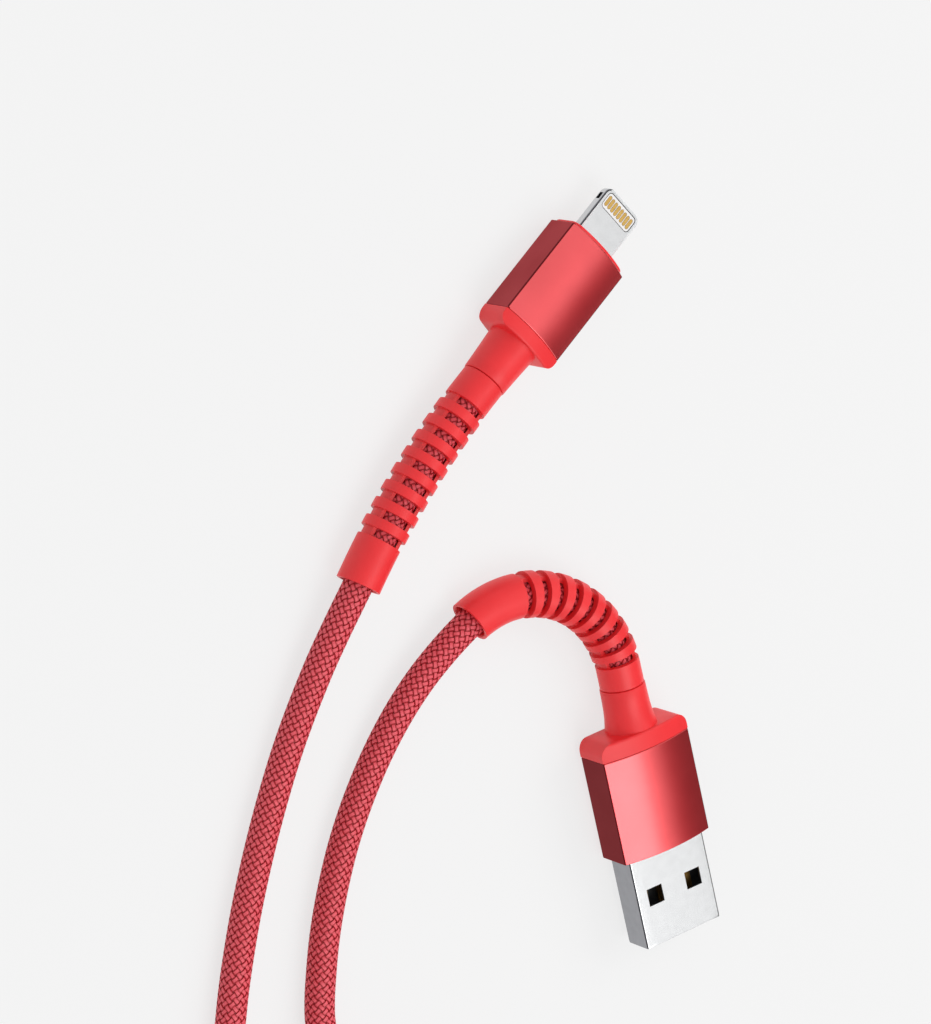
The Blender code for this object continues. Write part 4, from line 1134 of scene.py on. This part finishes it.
def makeTongue(plug, c):
    """Machined tongue: round tip and long edges, a scoop in each side, and a window for contacts."""
    right = [(c["root"], -c["half"])]
    for i in range(9):
        a = (i / 8 - 1) * math.pi / 2
        out, back = c["corner"] * math.cos(a), c["corner"] * math.sin(a)
        right.append((c["tip"] - c["corner"] + out, -c["half"] + c["corner"] + back))
    outline = right + [(x, -y) for x, y in right[::-1]]
    solid = solidFrom("phoneTongue", plug, outline, -c["thick"] / 2, c["thick"] / 2)
    piece = addPiece("phoneTongue", solid, "steel", plug["body"])
    roundEdges(piece, c["edge"], 5, 60)
    notch, beside = c["tip"] - c["notch"], c["half"] + c["notchRadius"] - c["notchDepth"]
    for side in (-1, 1):
        scoop = []
        for i in range(20):
            a = side * (i + 0.5) / 10 * math.pi
            scoop.append((notch + c["notchRadius"] * math.cos(a), side * beside + c["notchRadius"] * math.sin(a)))
        cutAway(piece, plug, scoop, -c["notchHalf"], c["notchHalf"])
    hole = []
    w, h, r = c["windowLength"] / 2, c["windowHalf"], c["windowCorner"]
    middle = c["windowFront"] - w
    for sx, sy, start in ((1, 1, 0), (-1, 1, 1), (-1, -1, 2), (1, -1, 3)):
        for i in range(7):
            a = (start + i / 6) * math.pi / 2
            hole.append((middle + sx * (w - r) + r * math.cos(a), sy * (h - r) + r * math.sin(a)))
    cutAway(piece, plug, hole, -1.0, 1.0)
    piece.data.shade_smooth()
    piece.data.set_sharp_from_angle(angle=math.radians(35))
    keepFlat(piece)
    for look in ("steelPaintedDark", "steelPaintedShade", "steelPaintedPaleShade", "steelPaintedHighlight"):
        piece.data.materials.append(looks[look])
    left = plugPoint(plug, 0, 1, 0) - plugPoint(plug, 0, 0, 0)
    forward = plugPoint(plug, 1, 0, 0) - plugPoint(plug, 0, 0, 0)
    # by its facing a face takes a copy of the plating with painted light or shade: near black on the left roll, in
    # the scoops and on the window's walls, grey where it leans left, paler grey on the left side, and white, a
    # painted highlight, on the other rims
    for face in piece.data.polygons:
        spot = (face.center - plug["seam"]) / mm
        x, y = spot.dot(forward) / mm, abs(spot.dot(left)) / mm
        upright, facing = abs(face.normal.z), face.normal.dot(left) / mm
        scooped = math.hypot(x - notch, y - beside) < c["notchRadius"] + c["near"]
        walled = upright < c["wall"] and abs(x - middle) < w + c["near"] and y < h + c["near"]
        if scooped or walled or (c["roll"][0] < upright < c["roll"][1] and facing > c["leans"]):
            face.material_index = 1
        elif c["side"][0] < upright < c["side"][1] and facing > c["leans"]:
            face.material_index = 2
        elif facing > c["faces"]:
            face.material_index = 3
        elif c["rim"][0] < upright < c["rim"][1]:
            face.material_index = 4
    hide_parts("phone_plug_tongue")


def makeTrim(plug, c):
    """The thin soft lip at the sleeve's mouth, with its own rounder corners."""
    inset = sleeve["wall"] + cap["fit"]
    radius = crownRadius(plug, inset)
    width, top, r = plug["halfWidth"] - inset, plug["top"] - inset, c["corner"]

    def rounded(pull):
        w, t, big, small = width - pull, top - pull, radius - pull, r - pull
        reach = math.acos((w - small) / (big - small))
        height = t - big + (big - small) * math.sin(reach)
        quarter = [(w - small + small * math.cos(a), height + small * math.sin(a)) for a in np.linspace(0, reach, 9)]
        edge = big * math.cos(reach)
        face = [(y, t - big + math.sqrt(big**2 - y**2)) for y in np.linspace(edge, -edge, 25)[1:-1]]
        side = [(w, z) for z in np.linspace(-height, height, 7)[1:-1]]
        half = side + quarter + face + [(-y, z) for y, z in quarter[::-1]]
        return half + [(-y, -z) for y, z in half]

    front, fillet = c["front"], c["round"]
    mouth = plug["sleeve"] + c["mouthGap"]
    steps = ((front - c["depth"], 0.0), (mouth, 0.0), (mouth, -c["flange"]))
    loops = [across(plug, x, rounded(pull)) for x, pull in steps]
    for i in range(6):
        a = i / 5 * math.pi / 2
        pull = fillet * (1 - math.cos(a)) - c["flange"]
        loops.append(across(plug, front - fillet + fillet * math.sin(a), rounded(pull)))
    outline = rounded(fillet - c["flange"])
    slot = []
    for y, z in outline:
        a = math.atan2(z, y)
        scale = min(c["slotHalf"] / max(abs(math.cos(a)), 1e-6), c["slotHigh"] / max(abs(math.sin(a)), 1e-6))
        slot.append((scale * math.cos(a), scale * math.sin(a)))
    loops += [across(plug, front, slot), across(plug, front - c["depth"], slot)]
    piece = addPiece("phoneFrontTrim", loftMesh("frontTrim", loops), "soft", plug["body"])
    piece.data.shade_smooth()
    piece.data.set_sharp_from_angle(angle=math.radians(40))
    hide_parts("phone_front_trim")


makeTongue(phonePlug, tongue)
makeTrim(phonePlug, trim)


# CAD pieces whose shape is right get their real finish, but the host contacts a darkened gold that is painted shade
print("carried over pieces")
keptLooks = {
    "host_contact_carrier": "nylonBlack", "host_inner_mould": "soft", "phone_inner_mould": "nylon",
    "phone_contact_block": "nylon", "phone_board": "board", "phone_chip": "epoxy", "phone_regulator": "epoxy",
    "host_cord_clamp": "brass", "phone_cord_clamp": "brass",
}
# the host contacts take a darkened gold: painted shade inside the shell
for i in range(4):
    keptLooks[f"host_contact_{i + 1}"] = "goldInPaintedShade"
for i in range(8):
    keptLooks[f"phone_contact_top_{i + 1}"] = "gold"
    keptLooks[f"phone_contact_under_{i + 1}"] = "gold"
for colour in wires:
    keptLooks[f"host_wire_{colour}"] = keptLooks[f"phone_wire_{colour}"] = f"{colour}Wire"


def dressKept(name, look):
    thing = bpy.data.objects[name]
    for slot in thing.material_slots:
        slot.material = looks[look]
    if not thing.material_slots:
        thing.data.materials.append(looks[look])


for name, look in keptLooks.items():
    dressKept(name, look)


# floor, backdrop and light
print("stage and light")
stageSetup = {
    "floor": "#F5F5F5",
    "reach": 3.0,
    "level": -0.00002,  # just under what lies on it
    "floorShare": 0.80,  # of the floor's look that ignores shadows
    "sky": 1.0,
    "ambient": 0.48,
    "darkSide": Vector((0.92, -0.27, 0.28)),
    "darkest": 0.05,
    "darkFrom": 0.755,  # how nearly a direction points at the dark side
    "darkFull": 0.875,
}


def addFloor(c):
    corners = [(x * c["reach"], y * c["reach"], c["level"]) for x, y in ((-1, -1), (1, -1), (1, 1), (-1, 1))]
    mesh = bpy.data.meshes.new("floor")
    mesh.from_pydata(corners, [], [(0, 1, 2, 3)])
    floor = addObject("floor", mesh)
    material, tree, shader = newMaterial("paleFloor", Roughness=0.9)
    shader.inputs["Base Color"].default_value = linear(c["floor"])
    shader.inputs["Specular IOR Level"].default_value = 0.1
    glow = addNode(tree, "ShaderNodeEmission", {"Color": linear(c["floor"]), "Strength": 1.0})
    path = addNode(tree, "ShaderNodeLightPath")
    seen = mathNode(tree, "MAXIMUM", path.outputs["Is Camera Ray"], path.outputs["Is Glossy Ray"])
    seen = mathNode(tree, "MAXIMUM", seen, path.outputs["Is Transmission Ray"])
    share = mathNode(tree, "MULTIPLY", seen, c["floorShare"])
    mix = addNode(tree, "ShaderNodeMixShader", {}, {0: share, 1: shader.outputs[0], 2: glow.outputs[0]})
    tree.links.new(mix.outputs[0], tree.nodes["Material Output"].inputs["Surface"])
    mesh.materials.append(material)


def addWorld(c):
    """A pale surround, with a darker side that gives the metal its gradient."""
    world = bpy.data.worlds.new("studio")
    bpy.context.scene.world = world
    world.use_nodes = True
    tree = world.node_tree
    where = addNode(tree, "ShaderNodeTexCoord")
    dark = c["darkSide"].normalized()
    compare = {"operation": "DOT_PRODUCT", 1: dark}
    toward = addNode(tree, "ShaderNodeVectorMath", compare, {0: where.outputs["Generated"]})
    shade = ramp(tree, toward.outputs["Value"], 1.0, c["darkest"], c["darkFrom"], c["darkFull"])
    path = addNode(tree, "ShaderNodeLightPath")
    glossy = mathNode(tree, "MAXIMUM", path.outputs["Is Glossy Ray"], path.outputs["Is Transmission Ray"])
    level = mathNode(tree, "MULTIPLY", shade, c["sky"])
    level = mathNode(tree, "MULTIPLY", level, glossy)
    level = mathNode(tree, "ADD", level, mathNode(tree, "MULTIPLY", path.outputs["Is Camera Ray"], c["sky"]))
    seen = mathNode(tree, "MAXIMUM", glossy, path.outputs["Is Camera Ray"])
    ambient = mathNode(tree, "MULTIPLY", mathNode(tree, "SUBTRACT", 1.0, seen), c["ambient"])
    strength = mathNode(tree, "ADD", level, ambient)
    tree.links.new(strength, tree.nodes["Background"].inputs["Strength"])
    tree.nodes["Background"].inputs["Color"].default_value = (1, 1, 1, 1)


lamps = {
    "top": {"spot": place(24, -500, 1077), "size": 0.80, "power": 4.7, "glossy": True},
    "right": {"spot": place(820, 260, 800), "size": 0.80, "power": 5.0, "glossy": False},
}


def addLamp(name, c, target=place(0, 0, 4)):
    data = bpy.data.lights.new(name, "AREA")
    data.shape = "SQUARE"
    data.size = c["size"]
    data.energy = c["power"]
    lamp = addObject(name, data)
    lamp.location = c["spot"]
    lamp.rotation_euler = (target - c["spot"]).to_track_quat("-Z", "Y").to_euler()
    lamp.visible_glossy = c["glossy"]


addFloor(stageSetup)
addWorld(stageSetup)
for name, setup in lamps.items():
    addLamp(name, setup)
bpy.context.scene.view_settings.view_transform = "Standard"

print("done")
